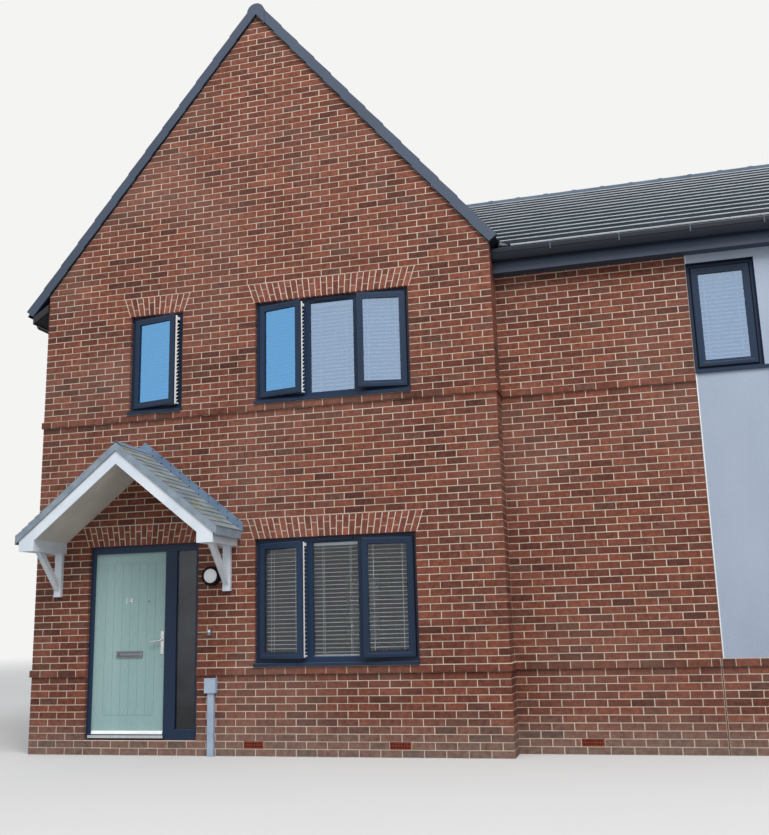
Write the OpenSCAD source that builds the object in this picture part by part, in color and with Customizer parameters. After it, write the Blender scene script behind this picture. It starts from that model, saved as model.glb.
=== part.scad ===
// Brick house: a gable-fronted block with a lower wing beside it, in millimetres.
// X runs along the street front, Y into the house, Z up. The origin is at ground level,
// under the centre of the gable block.

/* [Brickwork] */
// Length of one stretcher with its joint
brick_l = 225; // [205:5:245]
// Height of one course with its joint
course = 75; // [65:1:85]
// Thickness of the outer walls
wall_t = 300; // [250:10:360]
// How far the string courses stand out from the wall
string_out = 18; // [8:1:30]
// Depth of the brick arches and the air bricks from the wall face
half_brick = 102; // [90:1:110]

/* [Plan] */
// Width of the gable block
gable_w = 5400; // [4950:225:6300]
// Depth of the gable block, front face to rear face
depth = 8775; // [8100:225:10350]
// How far the wing stands back from the gable front
wing_back = 338; // [250:1:450]
// Width of each brick pier of the wing
pier_w = 2025; // [1350:225:2700]
// Width of the rendered panel between the piers
panel_w = 2700; // [1800:225:3600]

/* [Levels] */
// Ground floor above the ground
floor_z = 150; // [100:5:300]
// Sill of the ground floor windows
sill_z = 900; // [825:75:1050]
// Head of the ground floor windows and of the door
head_z = 2250; // [2175:75:2400]
// Upper floor above the ground
upper_floor_z = 2800; // [2650:10:3000]
// Thickness of the upper floor
upper_floor_t = 250; // [200:10:300]
// Sill of the upper windows
upper_sill_z = 3750; // [3525:75:3900]
// Height of the upper windows
upper_window_h = 1200; // [900:75:1275]

/* [Openings] */
// Left edge of the wide windows from the gable centre
wide_window_x = -15; // [-300:5:400]
// Width of the wide windows
wide_window_w = 1800; // [1350:225:2025]
// Left edge of the small window from the gable centre
small_window_x = -1590; // [-1900:5:-1400]
// Width of the small windows
small_window_w = 675; // [450:225:900]
// Left edge of the door opening from the gable centre
door_x = -2025; // [-2100:25:-1900]
// Width of the door opening
door_w = 1350; // [1300:10:1400]
// How far frames stand back from the brick face
reveal = 45; // [30:5:90]

/* [Roofs] */
// Height of the gable ridge line
gable_ridge_z = 8800; // [8400:10:9200]
// Height of the gable roof surface over the outer face of its side walls
gable_eaves_z = 5490; // [5450:10:5600]
// How far the wing ridge is below the gable ridge
ridge_drop = 1040; // [950:5:1150]
// Height of the wing roof surface at its eaves edge
wing_eaves_z = 5330; // [5250:5:5400]
// Thickness of the roof covering with its battens and felt
roof_t = 100; // [80:5:130]
// How far the left eaves stand out from the wall
left_eaves_out = 283; // [200:1:350]
// How far the right slope of the gable roof runs past the wall beside the front
right_foot_out = 81; // [40:1:100]
// How far the wing eaves stand out from the wall
wing_eaves_out = 190; // [150:10:260]
// How far the roof covering runs past the gable walls
verge_out = 20; // [10:5:60]
// Depth of the verge units' face, square to the slope
verge_face = 100; // [80:5:130]
// Length of one ridge tile
ridge_tile_l = 450; // [300:10:500]
// Tile courses are about this far apart up the slope
tile_gauge = 338; // [300:2:350]

/* [Windows and door] */
// Front to back size of the window and door frames
frame_d = 70; // [60:1:80]
// Face width of the window frame
frame_face = 58; // [45:1:70]
// Face width of a mullion
mullion_face = 74; // [60:1:90]
// Face width of an opening sash
sash_face = 66; // [50:1:75]
// How far a sash laps over the frame
sash_lap = 14; // [10:1:18]
// Angle at which the front sashes stand open
ajar = 12; // [0:1:20]
// Thickness of the glazing units
glass_t = 24; // [20:1:28]
// Width of the door leaf
leaf_w = 895; // [820:5:900]
// Thickness of the door leaf
leaf_t = 44; // [40:1:50]
// Clearance round the moving pieces
gap = 6; // [5:0.5:8]

/* [Canopy] */
// Overall width of the canopy over its beams
canopy_w = 2290; // [2000:10:2400]
// How far the canopy stands out from the wall
canopy_out = 640; // [500:10:800]
// Pitch of the canopy roof
canopy_pitch = 39; // [35:0.5:42]
// Underside of the canopy above the ground
canopy_z = 2183; // [2150:1:2300]
// Width of the canopy's side beams
beam_w = 183; // [140:1:200]
// Height of the canopy's side beams
beam_h = 110; // [90:1:140]

/* [Hidden] */
$fn = 48;
eps = 1;
// Hairline between two pieces that only lie on each other
hair = 0.05;

brick_red = "#8b4a3c";
anthracite = "#3a4556";
tile_grey = "#4a4a4c";
paint_white = "#ecebe6";

upper_head_z = upper_sill_z + upper_window_h;
arch_h = 3 * course;
arch_splay_foot = 10;
arch_splay_top = 85;
// Width of one arch brick on its face, with its joint
voussoir_w = 66;
joint = 10;
wing_x0 = gable_w / 2;
panel_x = wing_x0 + pier_w;
wing_x1 = panel_x + panel_w + pier_w;
wing_rear_y = depth - wing_back;
tan_g = (gable_ridge_z - gable_eaves_z) / (gable_w / 2);
gable_pitch = atan(tan_g);
wing_eaves_y = wing_back - wing_eaves_out;
wing_ridge_z = gable_ridge_z - ridge_drop;
tan_w = (wing_ridge_z - wing_eaves_z) / (depth / 2 - wing_eaves_y);
wing_pitch = atan(tan_w);
// Upright thickness of each roof covering
gable_cover = roof_t / cos(gable_pitch);
wing_cover = roof_t / cos(wing_pitch);
eaves_x = -gable_w / 2 - left_eaves_out;
right_foot_x = gable_w / 2 + right_foot_out;
valley_foot_x = (gable_ridge_z - wing_eaves_z) / tan_g;
valley_head_x = (gable_ridge_z - wing_ridge_z) / tan_g;
wide_window = [wide_window_x, wide_window_w];
small_window = [small_window_x, small_window_w];
wing_windows = [panel_x, panel_x + panel_w - small_window_w];
side_window_y = (depth - small_window_w) / 2;
canopy_x = door_x + door_w / 2 - 10;
render_t = 16;
air_brick_t = 40;
// Flat left under the ridge tiles where the slopes meet, half its width
gable_flat = 45;
wing_flat = 20;
// Half the width of a tight seam between two pieces of one node
seam = 0.2;

// Moves a piece from the front-face frame, where Y is 0 at the gable front, to the origin
module site() translate([0, -depth / 2, 0]) children();

// Mirrors a front piece to the rear face
module to_rear() translate([0, depth, 0]) mirror([0, 1, 0]) children();

// A block given by its lowest and highest corners
module block(low, high) translate(low) cube(high - low);

// Everything under the gable roof covering
module under_gable() translate([0, -depth, -hair]) rotate([90, 0, 0]) mirror([0, 0, 1])
    linear_extrude(3 * depth)
        polygon([
            [eaves_x, 0], [-eaves_x, 0],
            [-eaves_x, gable_ridge_z - gable_cover + eaves_x * tan_g],
            [0, gable_ridge_z - gable_cover],
            [eaves_x, gable_ridge_z - gable_cover + eaves_x * tan_g]
        ]);

// Everything under the wing roof covering
module under_wing() translate([0, 0, -hair]) rotate([90, 0, 90])
    linear_extrude(wing_x1 + 2 * string_out)
        polygon([
            [wing_eaves_y, 0], [depth - wing_eaves_y, 0],
            [depth - wing_eaves_y, wing_eaves_z - wing_cover],
            [depth / 2, wing_ridge_z - wing_cover],
            [wing_eaves_y, wing_eaves_z - wing_cover]
        ]);

// A hole through a wall that faces the street, from its left edge and width
module front_hole(opening, z0, z1, y0 = 0) block(
    [opening[0], y0 - 2 * string_out, z0], [opening[0] + opening[1], y0 + wall_t + eps, z1]);

// Outline of a splayed flat arch over an opening
module arch_outline(x, w, z) polygon([
    [x - arch_splay_foot, z], [x + w + arch_splay_foot, z],
    [x + w + arch_splay_top, z + arch_h], [x - arch_splay_top, z + arch_h]
]);

// The pocket that an arch fills in a street-facing wall
module arch_pocket(opening, z) translate([0, half_brick, 0]) rotate([90, 0, 0])
    linear_extrude(half_brick + eps) arch_outline(opening[0], opening[1], z);

// A splayed arch: bricks on end, fanned from upright in the middle to the skewbacks, with
// raked joints between them and cross joints that alternate at a third and two thirds
module brick_arch(opening, z) {
    x = opening[0];
    w = opening[1];
    joint_d = 5;
    joint_w = 9;
    foot_w = w + 2 * arch_splay_foot;
    top_w = w + 2 * arch_splay_top;
    count = 2 * round((foot_w / voussoir_w - 1) / 2) + 1;
    function foot(i) = x - arch_splay_foot + foot_w * i / count;
    function top(i) = x - arch_splay_top + top_w * i / count;
    function between(i, t) = foot(i) * (1 - t) + top(i) * t;
    translate([0, half_brick, 0]) rotate([90, 0, 0]) {
        linear_extrude(half_brick - joint_d) arch_outline(x, w, z);
        linear_extrude(half_brick) difference() {
            arch_outline(x, w, z);
            for (i = [1:count - 1]) polygon([
                [foot(i) - joint_w / 2, z - eps], [foot(i) + joint_w / 2, z - eps],
                [top(i) + joint_w / 2, z + arch_h + eps], [top(i) - joint_w / 2, z + arch_h + eps]
            ]);
            for (i = [0:count - 1]) {
                t = ((i + (count - 1) / 2) % 2 == 0) ? 1 / 3 : 2 / 3;
                polygon([
                    [between(i, t), z + arch_h * t - joint_w / 2],
                    [between(i + 1, t), z + arch_h * t - joint_w / 2],
                    [between(i + 1, t), z + arch_h * t + joint_w / 2],
                    [between(i, t), z + arch_h * t + joint_w / 2]
                ]);
            }
        }
    }
}

// A string course on a street-facing wall
module string_course(x0, x1, top, y = 0)
    block([x0, y - string_out, top - course], [x1, y + eps, top]);

// Ground floor walling left of the door
module front_wall_left() color(brick_red) site() {
    block([-gable_w / 2, 0, 0], [door_x, wall_t, head_z]);
    string_course(-gable_w / 2, door_x, sill_z);
}

// Ground floor walling right of the door, round the corner to the wing
module front_wall_right() color(brick_red) site() {
    door_right = door_x + door_w;
    difference() {
        union() {
            block([door_right, 0, 0], [gable_w / 2, wall_t, head_z]);
            block([gable_w / 2 - wall_t, 0, 0], [gable_w / 2, wing_back, head_z]);
            string_course(door_right, gable_w / 2 + string_out, sill_z);
            block([gable_w / 2 - eps, 0, sill_z - course], [gable_w / 2 + string_out, wing_back, sill_z]);
        }
        front_hole(wide_window, sill_z, head_z);
        for (x = front_air_bricks) air_pocket(x, 0);
    }
}

// Gable wall above the ground floor openings, up to the roof
module gable_upper(has_door) difference() {
    intersection() {
        union() {
            block([-gable_w / 2, 0, head_z], [gable_w / 2, wall_t, gable_ridge_z]);
            block([gable_w / 2 - wall_t, 0, head_z], [gable_w / 2, wing_back, gable_ridge_z]);
            string_course(-gable_w / 2, gable_w / 2 + string_out, upper_sill_z);
            block([gable_w / 2 - eps, 0, upper_sill_z - course],
                [gable_w / 2 + string_out, wing_back, upper_sill_z]);
        }
        under_gable();
    }
    front_hole(wide_window, upper_sill_z, upper_head_z);
    front_hole(small_window, upper_sill_z, upper_head_z);
    arch_pocket(wide_window, upper_head_z);
    arch_pocket(small_window, upper_head_z);
    arch_pocket(wide_window, head_z);
    if (has_door) arch_pocket([door_x, door_w], head_z);
    else arch_pocket(small_window, head_z);
}

module front_wall_upper() color(brick_red) site() gable_upper(true);

// Side wall of the gable block
module left_wall() color(brick_red) site() difference() {
    intersection() {
        union() {
            block([-gable_w / 2, wall_t, 0], [-gable_w / 2 + wall_t, depth - wall_t, gable_ridge_z]);
            for (top = [sill_z, upper_sill_z])
                block([-gable_w / 2 - string_out, -string_out, top - course],
                    [-gable_w / 2, depth + string_out, top]);
        }
        under_gable();
    }
    for (span = [[sill_z, head_z], [upper_sill_z, upper_head_z]])
        block([-gable_w, side_window_y, span[0]],
            [0, side_window_y + small_window_w, span[1]]);
}

// Ground floor walling of the rear gable
module rear_wall_lower() color(brick_red) site() to_rear() difference() {
    union() {
        block([-gable_w / 2, 0, 0], [gable_w / 2, wall_t, head_z]);
        block([gable_w / 2 - wall_t, 0, 0], [gable_w / 2, wing_back, head_z]);
        string_course(-gable_w / 2, gable_w / 2 + string_out, sill_z);
        block([gable_w / 2 - eps, 0, sill_z - course], [gable_w / 2 + string_out, wing_back, sill_z]);
    }
    front_hole(wide_window, sill_z, head_z);
    front_hole(small_window, sill_z, head_z);
}

module rear_wall_upper() color(brick_red) site() to_rear() gable_upper(false);

// A long wall of the wing, with the two windows of the rendered panel
module wing_long_wall() difference() {
    intersection() {
        union() {
            block([gable_w / 2 - wall_t, wing_back, 0], [wing_x1, wing_back + wall_t, wing_ridge_z]);
            string_course(wing_x0 + string_out, wing_x1 + string_out, sill_z, wing_back);
            string_course(wing_x0 + string_out, panel_x, upper_sill_z, wing_back);
            string_course(panel_x + panel_w, wing_x1 + string_out, upper_sill_z, wing_back);
        }
        under_wing();
    }
    for (x = wing_windows) front_hole([x, small_window_w], upper_sill_z, upper_head_z, wing_back);
    gable_slope(right_foot_x);
}

// The street side has an air brick and a movement joint from the ground to the sill level
module wing_front_wall() color(brick_red) site() difference() {
    joint_x = panel_x - 2 * joint;
    wing_long_wall();
    for (x = wing_air_bricks) air_pocket(x, wing_back);
    block([joint_x - joint / 2, wing_back - 2 * string_out, -eps],
        [joint_x + joint / 2, wing_back + joint, sill_z + eps]);
}

module wing_rear_wall() color(brick_red) site() to_rear() wing_long_wall();

// End wall of the wing
module wing_end_wall() color(brick_red) site() difference() {
    intersection() {
        union() {
            block([wing_x1 - wall_t, wing_back + wall_t, 0],
                [wing_x1, wing_rear_y - wall_t, wing_ridge_z]);
            for (top = [sill_z, upper_sill_z])
                block([wing_x1, wing_back + eps, top - course],
                    [wing_x1 + string_out, wing_rear_y - eps, top]);
        }
        under_wing();
    }
    for (span = [[sill_z, head_z], [upper_sill_z, upper_head_z]])
        block([wing_x0, side_window_y, span[0]],
            [2 * wing_x1, side_window_y + small_window_w, span[1]]);
}

// Arches over the openings of both gables
module brick_arches() color("#7d4336") site() {
    brick_arch(wide_window, upper_head_z);
    brick_arch(small_window, upper_head_z);
    brick_arch(wide_window, head_z);
    brick_arch([door_x, door_w], head_z);
    to_rear() {
        brick_arch(wide_window, upper_head_z);
        brick_arch(small_window, upper_head_z);
        brick_arch(wide_window, head_z);
        brick_arch(small_window, head_z);
    }
}

// Rendered panel of one long wall of the wing, between its piers
module render_panel() difference() {
    intersection() {
        block([panel_x, wing_back - render_t, sill_z], [panel_x + panel_w, wing_back, wing_ridge_z]);
        under_wing();
        block([panel_x, 0, 0], [panel_x + panel_w, depth, fascia_foot_z]);
    }
    for (x = wing_windows) front_hole([x, small_window_w], upper_sill_z, upper_head_z, wing_back);
    block([panel_x, 0, upper_sill_z], [panel_x + small_window_w + sill_horn, wing_back, upper_sill_z + sill_h]);
    block([panel_x + panel_w - small_window_w - sill_horn, 0, upper_sill_z],
        [panel_x + panel_w, wing_back, upper_sill_z + sill_h]);
}

module render_panels() color("white") site() {
    render_panel();
    to_rear() render_panel();
}

// Floor outline inside the walls
module floor_plate(z0, z1) {
    block([-gable_w / 2 + wall_t, wall_t, z0], [gable_w / 2 - wall_t, depth - wall_t, z1]);
    block([gable_w / 2 - wall_t - eps, wing_back + wall_t, z0],
        [wing_x1 - wall_t, wing_rear_y - wall_t, z1]);
}

module ground_floor() color("#8a8780") site() floor_plate(0, floor_z);

module upper_floor() color("#b59a72") site() floor_plate(upper_floor_z - upper_floor_t, upper_floor_z);

// Section of a roof slope from its ridge to a given half width: flat under the ridge tiles,
// its foot cut square
function slope_section(half, ridge_z, tan_p, flat) = [
    [0, ridge_z - flat * tan_p], [flat, ridge_z - flat * tan_p], [half, ridge_z - half * tan_p],
    [half - roof_t * sin(atan(tan_p)), ridge_z - half * tan_p - roof_t * cos(atan(tan_p))],
    [0, ridge_z - roof_t / cos(atan(tan_p))]
];

// A flat slope of the gable roof
module gable_slope(half) rotate([90, 0, 0]) mirror([0, 0, 1])
    translate([0, 0, -verge_out]) linear_extrude(depth + 2 * verge_out)
        polygon(slope_section(half, gable_ridge_z, tan_g, gable_flat));

module gable_roof_left() color(tile_grey) site() mirror([1, 0, 0]) gable_slope(-eaves_x);

// Right slope: a front and a rear plate, each cut in plan along the valley where the wing
// roof runs into it
module gable_roof_right() color(tile_grey) site() for (rear = [0, 1])
    translate([0, rear * depth, 0]) mirror([0, rear, 0]) intersection() {
        gable_slope(right_foot_x);
        linear_extrude(2 * gable_ridge_z) polygon([
            [0, -verge_out - eps], [valley_foot_x, -verge_out - eps], [valley_foot_x, wing_eaves_y],
            [valley_head_x, depth / 2 - seam], [0, depth / 2 - seam]
        ]);
    }

// Where the valley passes the foot of the gable's right slope
valley_run = (depth / 2 - wing_eaves_y) / (valley_foot_x - valley_head_x);
valley_foot_y = wing_eaves_y + (valley_foot_x - right_foot_x) * valley_run;

// Front slope of the wing roof, cut in plan along its valley
module wing_slope() intersection() {
    rotate([90, 0, 90]) linear_extrude(wing_x1 + verge_out) translate([depth / 2, 0]) mirror([1, 0])
        polygon(slope_section(depth / 2 - wing_eaves_y, wing_ridge_z, tan_w, wing_flat));
    linear_extrude(2 * gable_ridge_z) polygon([
        [right_foot_x + hair, wing_eaves_y], [2 * wing_x1, wing_eaves_y],
        [2 * wing_x1, depth / 2], [valley_head_x + hair, depth / 2], [right_foot_x + hair, valley_foot_y]
    ]);
}

module wing_roof_front() color(tile_grey) site() wing_slope();

module wing_roof_rear() color(tile_grey) site() to_rear() wing_slope();

// Sheet linings of the valleys: a strip on each slope, mitred along the valley line and cut
// short of the wing ridge
lining_w = 110;
lining_t = 4;
module lining_plan(x_from, x_to) linear_extrude(2 * gable_ridge_z) intersection() {
    polygon([[valley_foot_x + x_from, wing_eaves_y], [valley_foot_x + x_to, wing_eaves_y],
        [valley_head_x + x_to, depth / 2], [valley_head_x + x_from, depth / 2]]);
    translate([0, wing_eaves_y]) square([wing_x1, depth / 2 - wing_eaves_y - ridge_r - 4 * collar_h]);
}

module valley_linings() color("#6d747c") site() for (rear = [0, 1])
    translate([0, rear * depth, 0]) mirror([0, rear, 0]) {
        intersection() {
            rotate([90, 0, 0]) mirror([0, 0, 1]) linear_extrude(depth) translate([0, hair]) polygon([
                [0, gable_ridge_z], [right_foot_x, gable_ridge_z - right_foot_x * tan_g],
                [right_foot_x, gable_ridge_z - right_foot_x * tan_g + lining_t], [0, gable_ridge_z + lining_t]
            ]);
            lining_plan(-lining_w, -seam);
        }
        intersection() {
            rotate([90, 0, 90]) linear_extrude(wing_x1) translate([0, hair]) polygon([
                [wing_eaves_y, wing_eaves_z], [depth / 2, wing_ridge_z],
                [depth / 2, wing_ridge_z + lining_t], [wing_eaves_y, wing_eaves_z + lining_t]
            ]);
            lining_plan(seam, lining_w);
            translate([right_foot_x + seam, 0, 0]) cube([wing_x1, depth, 2 * gable_ridge_z]);
        }
    }

// Half-round ridge tiles along X: a round back with a raised collar at every joint, cut to
// sit on a roof of given pitch, with the ridge line at Z 0 and the centre of the round below it
ridge_r = 100;
collar_h = 8;
collar_l = 60;
gable_ridge_sit = 120;
wing_ridge_sit = 60;
module ridge_row(length, pitch, sit, flat) {
    count = ceil(length / ridge_tile_l);
    pitch_l = length / count;
    wide = 2 * ridge_r;
    difference() {
        translate([0, 0, -sit]) rotate([0, 90, 0]) {
            cylinder(r = ridge_r, h = length);
            for (i = [0:count - 1]) translate([0, 0, i * pitch_l])
                cylinder(r = ridge_r + collar_h, h = collar_l);
        }
        rotate([90, 0, 90]) translate([0, hair, -eps]) linear_extrude(length + 2 * eps)
            polygon([[-flat, -flat * tan(pitch)], [flat, -flat * tan(pitch)],
                [wide, -wide * tan(pitch)], [wide, -2 * wide - sit], [-wide, -2 * wide - sit],
                [-wide, -wide * tan(pitch)]]);
    }
}

// Everything under the tiled surface of the gable roof
module under_gable_tiles() translate([0, 0, gable_cover + 2 * hair]) under_gable();

module ridge_tiles() color(anthracite) site() {
    translate([0, -verge_out, gable_ridge_z]) rotate([0, 0, 90])
        ridge_row(depth + 2 * verge_out, gable_pitch, gable_ridge_sit, gable_flat);
    difference() {
        translate([0, depth / 2, wing_ridge_z])
            ridge_row(wing_x1 + verge_out, wing_pitch, wing_ridge_sit, wing_flat);
        under_gable_tiles();
    }
}

// Verge units down one slope, along X from the ridge line at the origin: each covers one
// tile course's end and steps over the next, so the back and the foot are a low sawtooth.
// The first unit is half as long again, and starts beside the cap on the ridge's end
verge_lip_w = 55;
verge_lip_t = 12;
verge_face_t = 14;
verge_step = 10;
cap_half = 110;
module verge_run(slope_l, pitch) {
    count = round(slope_l / tile_gauge - 1 / 2);
    unit_l = slope_l / (count + 1 / 2);
    function joint_at(i) = i == 0 ? 0 : (i + 1 / 2) * unit_l;
    back = [for (i = [0:count - 1], end = [0, 1]) [joint_at(i + end), verge_lip_t + end * verge_step]];
    foot = [for (i = [count - 1:-1:0], end = [1, 0]) [joint_at(i + end), end * verge_step - verge_face]];
    translate([0, -hair, hair]) intersection() {
        rotate([0, pitch, 0]) rotate([90, 0, 0]) mirror([0, 0, 1]) translate([0, 0, -verge_face_t]) {
            linear_extrude(verge_face_t) polygon(concat(back, foot));
            linear_extrude(verge_face_t + verge_lip_w) polygon(concat(back, [[slope_l, 0], [0, 0]]));
        }
        translate([cap_half + seam, -slope_l, -2 * slope_l]) cube([2 * slope_l, 2 * slope_l, 3 * slope_l]);
    }
}

// Cap on the end of a ridge, over the heads of both verge runs: round on top, notched below
module ridge_cap(pitch, sit) {
    proud = 8;
    top_v = (verge_lip_t + verge_step) / cos(pitch);
    face_v = verge_face / cos(pitch);
    fall = cap_half * tan(pitch);
    translate([0, -hair, 0]) rotate([90, 0, 0]) linear_extrude(verge_face_t + proud) difference() {
        hull() {
            translate([0, -sit]) circle(r = ridge_r + collar_h);
            polygon([[-cap_half, -fall + top_v], [cap_half, -fall + top_v],
                [cap_half, -fall - face_v], [-cap_half, -fall - face_v]]);
        }
        polygon([[0, -face_v], [2 * cap_half, -2 * fall - face_v], [2 * cap_half, -4 * fall - face_v],
            [-2 * cap_half, -4 * fall - face_v], [-2 * cap_half, -2 * fall - face_v]]);
    }
}

// Verge of one gable of the main block: both slopes and the cap, in the plane of the wall
module gable_verge() translate([0, -verge_out, gable_ridge_z]) {
    verge_run(right_foot_x / cos(gable_pitch), gable_pitch);
    mirror([1, 0, 0]) verge_run(-eaves_x / cos(gable_pitch), gable_pitch);
    ridge_cap(gable_pitch, gable_ridge_sit);
}

module verge_caps() color(anthracite) site() {
    wing_run = (depth / 2 - wing_eaves_y) / cos(wing_pitch);
    gable_verge();
    to_rear() gable_verge();
    translate([wing_x1 + verge_out, depth / 2, wing_ridge_z]) rotate([0, 0, 90]) {
        for (side = [0, 1]) mirror([side, 0, 0]) verge_run(wing_run, wing_pitch);
        ridge_cap(wing_pitch, wing_ridge_sit);
    }
}

// Fascia and soffit along the wing eaves
fascia_t = 20;
wing_foot_in = roof_t * sin(wing_pitch);
wing_foot_z = wing_eaves_z - roof_t * cos(wing_pitch);
fascia_foot_z = wing_foot_z - 202;
module wing_eaves_board() intersection() {
    union() {
        block([wing_x0, wing_eaves_y + wing_foot_in, fascia_foot_z],
            [wing_x1 + verge_out, wing_eaves_y + wing_foot_in + fascia_t, wing_eaves_z]);
        block([wing_x0, wing_eaves_y + wing_foot_in, fascia_foot_z],
            [wing_x1 + verge_out, wing_back, fascia_foot_z + fascia_t]);
    }
    under_wing();
}

// Left eaves: a fascia under the square-cut rafters, a soffit that rises to the wall, and a
// raking board across each end of them
left_foot_x = eaves_x + roof_t * sin(gable_pitch);
left_foot_z = gable_eaves_z - left_eaves_out * tan_g - roof_t * cos(gable_pitch);
left_fascia_h = 90;
soffit_rise = 140;
end_board_t = 12;
module left_eaves_board() {
    wall_x = -gable_w / 2;
    low = left_foot_z - left_fascia_h;
    rotate([90, 0, 0]) mirror([0, 0, 1]) translate([0, 0, -verge_out]) {
        linear_extrude(depth + 2 * verge_out) {
            polygon([[left_foot_x, low], [left_foot_x + fascia_t, low],
                [left_foot_x + fascia_t, left_foot_z + fascia_t * tan_g - hair],
                [left_foot_x, left_foot_z - hair]]);
            polygon([[left_foot_x, low], [wall_x, low + soffit_rise],
                [wall_x, low + soffit_rise + fascia_t], [left_foot_x, low + fascia_t]]);
        }
        for (y = [-end_board_t, depth + 2 * verge_out]) translate([0, 0, y])
            linear_extrude(end_board_t) polygon([[left_foot_x, low], [wall_x, low + soffit_rise],
                [wall_x, low + soffit_rise + left_fascia_h], [left_foot_x, left_foot_z - hair]]);
    }
}

module eaves_boards() color(anthracite) site() {
    wing_eaves_board();
    to_rear() wing_eaves_board();
    left_eaves_board();
}

// A deep gutter along X with closed ends, its back at Y 0 and its rim at Z 0, with unions at
// even steps from the first one
gutter_r = 56;
gutter_deep = 85;
function trough(a, b) = [for (i = [0:16]) [-a * cos(180 * i / 16), -b * sin(180 * i / 16)]];
module gutter_run(length, first) {
    translate([0, -gutter_r, 0]) rotate([90, 0, 90]) {
        difference() {
            linear_extrude(length) polygon(trough(gutter_r, gutter_deep));
            translate([0, 0, gutter_wall]) linear_extrude(length - 2 * gutter_wall)
                polygon(concat(trough(gutter_r - gutter_wall, gutter_deep - gutter_wall),
                    [[gutter_r - gutter_wall, eps], [gutter_wall - gutter_r, eps]]));
        }
        for (x = [first:union_step:length - union_l]) translate([0, 0, x]) linear_extrude(union_l)
            difference() {
                polygon(trough(gutter_r + union_t, gutter_deep + union_t));
                polygon(trough(gutter_r - eps, gutter_deep - eps));
                translate([gutter_r, -2 * gutter_deep]) square([2 * union_t, 2 * gutter_deep]);
            }
    }
}

gutter_wall = 4;
gutter_fall = 4;
union_l = 26;
union_t = 5;
union_step = 722;
first_union = 632;
left_gutter_in = 200;
module gutters() color("#23262b") site() {
    wing_start = wing_x0 + 5;
    for (rear = [0, 1]) translate([0, rear * depth, 0]) mirror([0, rear, 0])
        translate([wing_start, wing_eaves_y + wing_foot_in, wing_foot_z - gutter_fall])
            gutter_run(wing_x1 + verge_out - wing_start, first_union);
    translate([left_foot_x, depth - left_gutter_in, left_foot_z - gutter_fall])
        rotate([0, 0, -90]) gutter_run(depth - 2 * left_gutter_in, first_union);
}

// A window frame with equal lights, front face at Y 0, lower left corner at the origin
function light_w(w, lights) = (w - 2 * frame_face - (lights - 1) * mullion_face) / lights;
function light_x(i, w, lights) = frame_face + i * (light_w(w, lights) + mullion_face);

module window_frame(w, h, lights) {
    difference() {
        cube([w, frame_d, h]);
        for (i = [0:lights - 1]) translate([light_x(i, w, lights), -eps, frame_face])
            cube([light_w(w, lights), frame_d + 2 * eps, h - 2 * frame_face]);
    }
    if (lights == 3) translate([(w - vent_w) / 2, -vent_t, h - vent_h - vent_down])
        cube([vent_w, vent_t + eps, vent_h]);
}

// Trickle vent on the head of a wide window
vent_w = 400;
vent_h = 22;
vent_t = 14;
vent_down = 18;

// An opening sash for a light of given size: a lip in front of the frame and a body inside it
lip_t = 18;
body_d = 48;
module sash(w, h) difference() {
    union() {
        translate([-sash_lap, -lip_t, -sash_lap]) cube([w + 2 * sash_lap, lip_t, h + 2 * sash_lap]);
        translate([gap, -eps, gap]) cube([w - 2 * gap, body_d + eps, h - 2 * gap]);
    }
    translate([sash_face - sash_lap, -lip_t - eps, sash_face - sash_lap])
        cube([w - 2 * (sash_face - sash_lap), lip_t + body_d + 2 * eps, h - 2 * (sash_face - sash_lap)]);
}

module sash_pane(w, h) translate([sash_face - sash_lap, 0, sash_face - sash_lap])
    cube([w - 2 * (sash_face - sash_lap), glass_t, h - 2 * (sash_face - sash_lap)]);

// Swings what is drawn in a light outwards about its left or right edge
module swing(w, angle, right) {
    edge = right ? w + sash_lap : -sash_lap;
    translate([edge, 0, 0]) rotate([0, 0, right ? angle : -angle]) translate([-edge, 0, 0]) children();
}

sill_h = 35;
sill_nose = 35;
sill_horn = 45;
window_x_gap = 5;

// Puts what is drawn for a window of one opening into place
module at_window(opening, z, y0 = 0)
    translate([opening[0] + window_x_gap, y0 + reveal, z + sill_h]) children();

function frame_w(opening) = opening[1] - 2 * window_x_gap;
function frame_h(h) = h - sill_h - window_x_gap;

// What stands in the outer lights of a window: mode "sash" or "pane"
module lights_of(opening, h, lights, angle, mode) {
    w = frame_w(opening);
    lw = light_w(w, lights);
    lh = frame_h(h) - 2 * frame_face;
    outer = lights == 1 ? [0] : [0, lights - 1];
    for (i = outer) translate([light_x(i, w, lights), 0, frame_face])
        swing(lw, angle, i > 0) translate([0, -seal, 0]) {
            if (mode == "sash") sash(lw, lh);
            else sash_pane(lw, lh);
        }
    if (mode == "pane" && lights == 3) translate([light_x(1, w, lights), glass_in, frame_face])
        cube([lw, glass_t, lh]);
}

// Weather seal between sash and frame, and how far fixed panes stand behind the frame's face
seal = 0.3;
glass_in = 20;

ground_h = head_z - sill_z;
module wide_window_frames() color(anthracite) site() {
    at_window(wide_window, sill_z) window_frame(frame_w(wide_window), frame_h(ground_h), 3);
    at_window(wide_window, upper_sill_z) window_frame(frame_w(wide_window), frame_h(upper_window_h), 3);
}

module small_window_frames() color(anthracite) site() {
    at_window(small_window, upper_sill_z)
        window_frame(frame_w(small_window), frame_h(upper_window_h), 1);
    for (x = wing_windows) closed_window([x, small_window_w], upper_sill_z, upper_window_h, 1, wing_back);
}

// A window with its sashes shut
module closed_window(opening, z, h, lights, y0 = 0) at_window(opening, z, y0) {
    window_frame(frame_w(opening), frame_h(h), lights);
    translate([0, seal, 0]) lights_of(opening, h, lights, 0, "sash");
}

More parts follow.
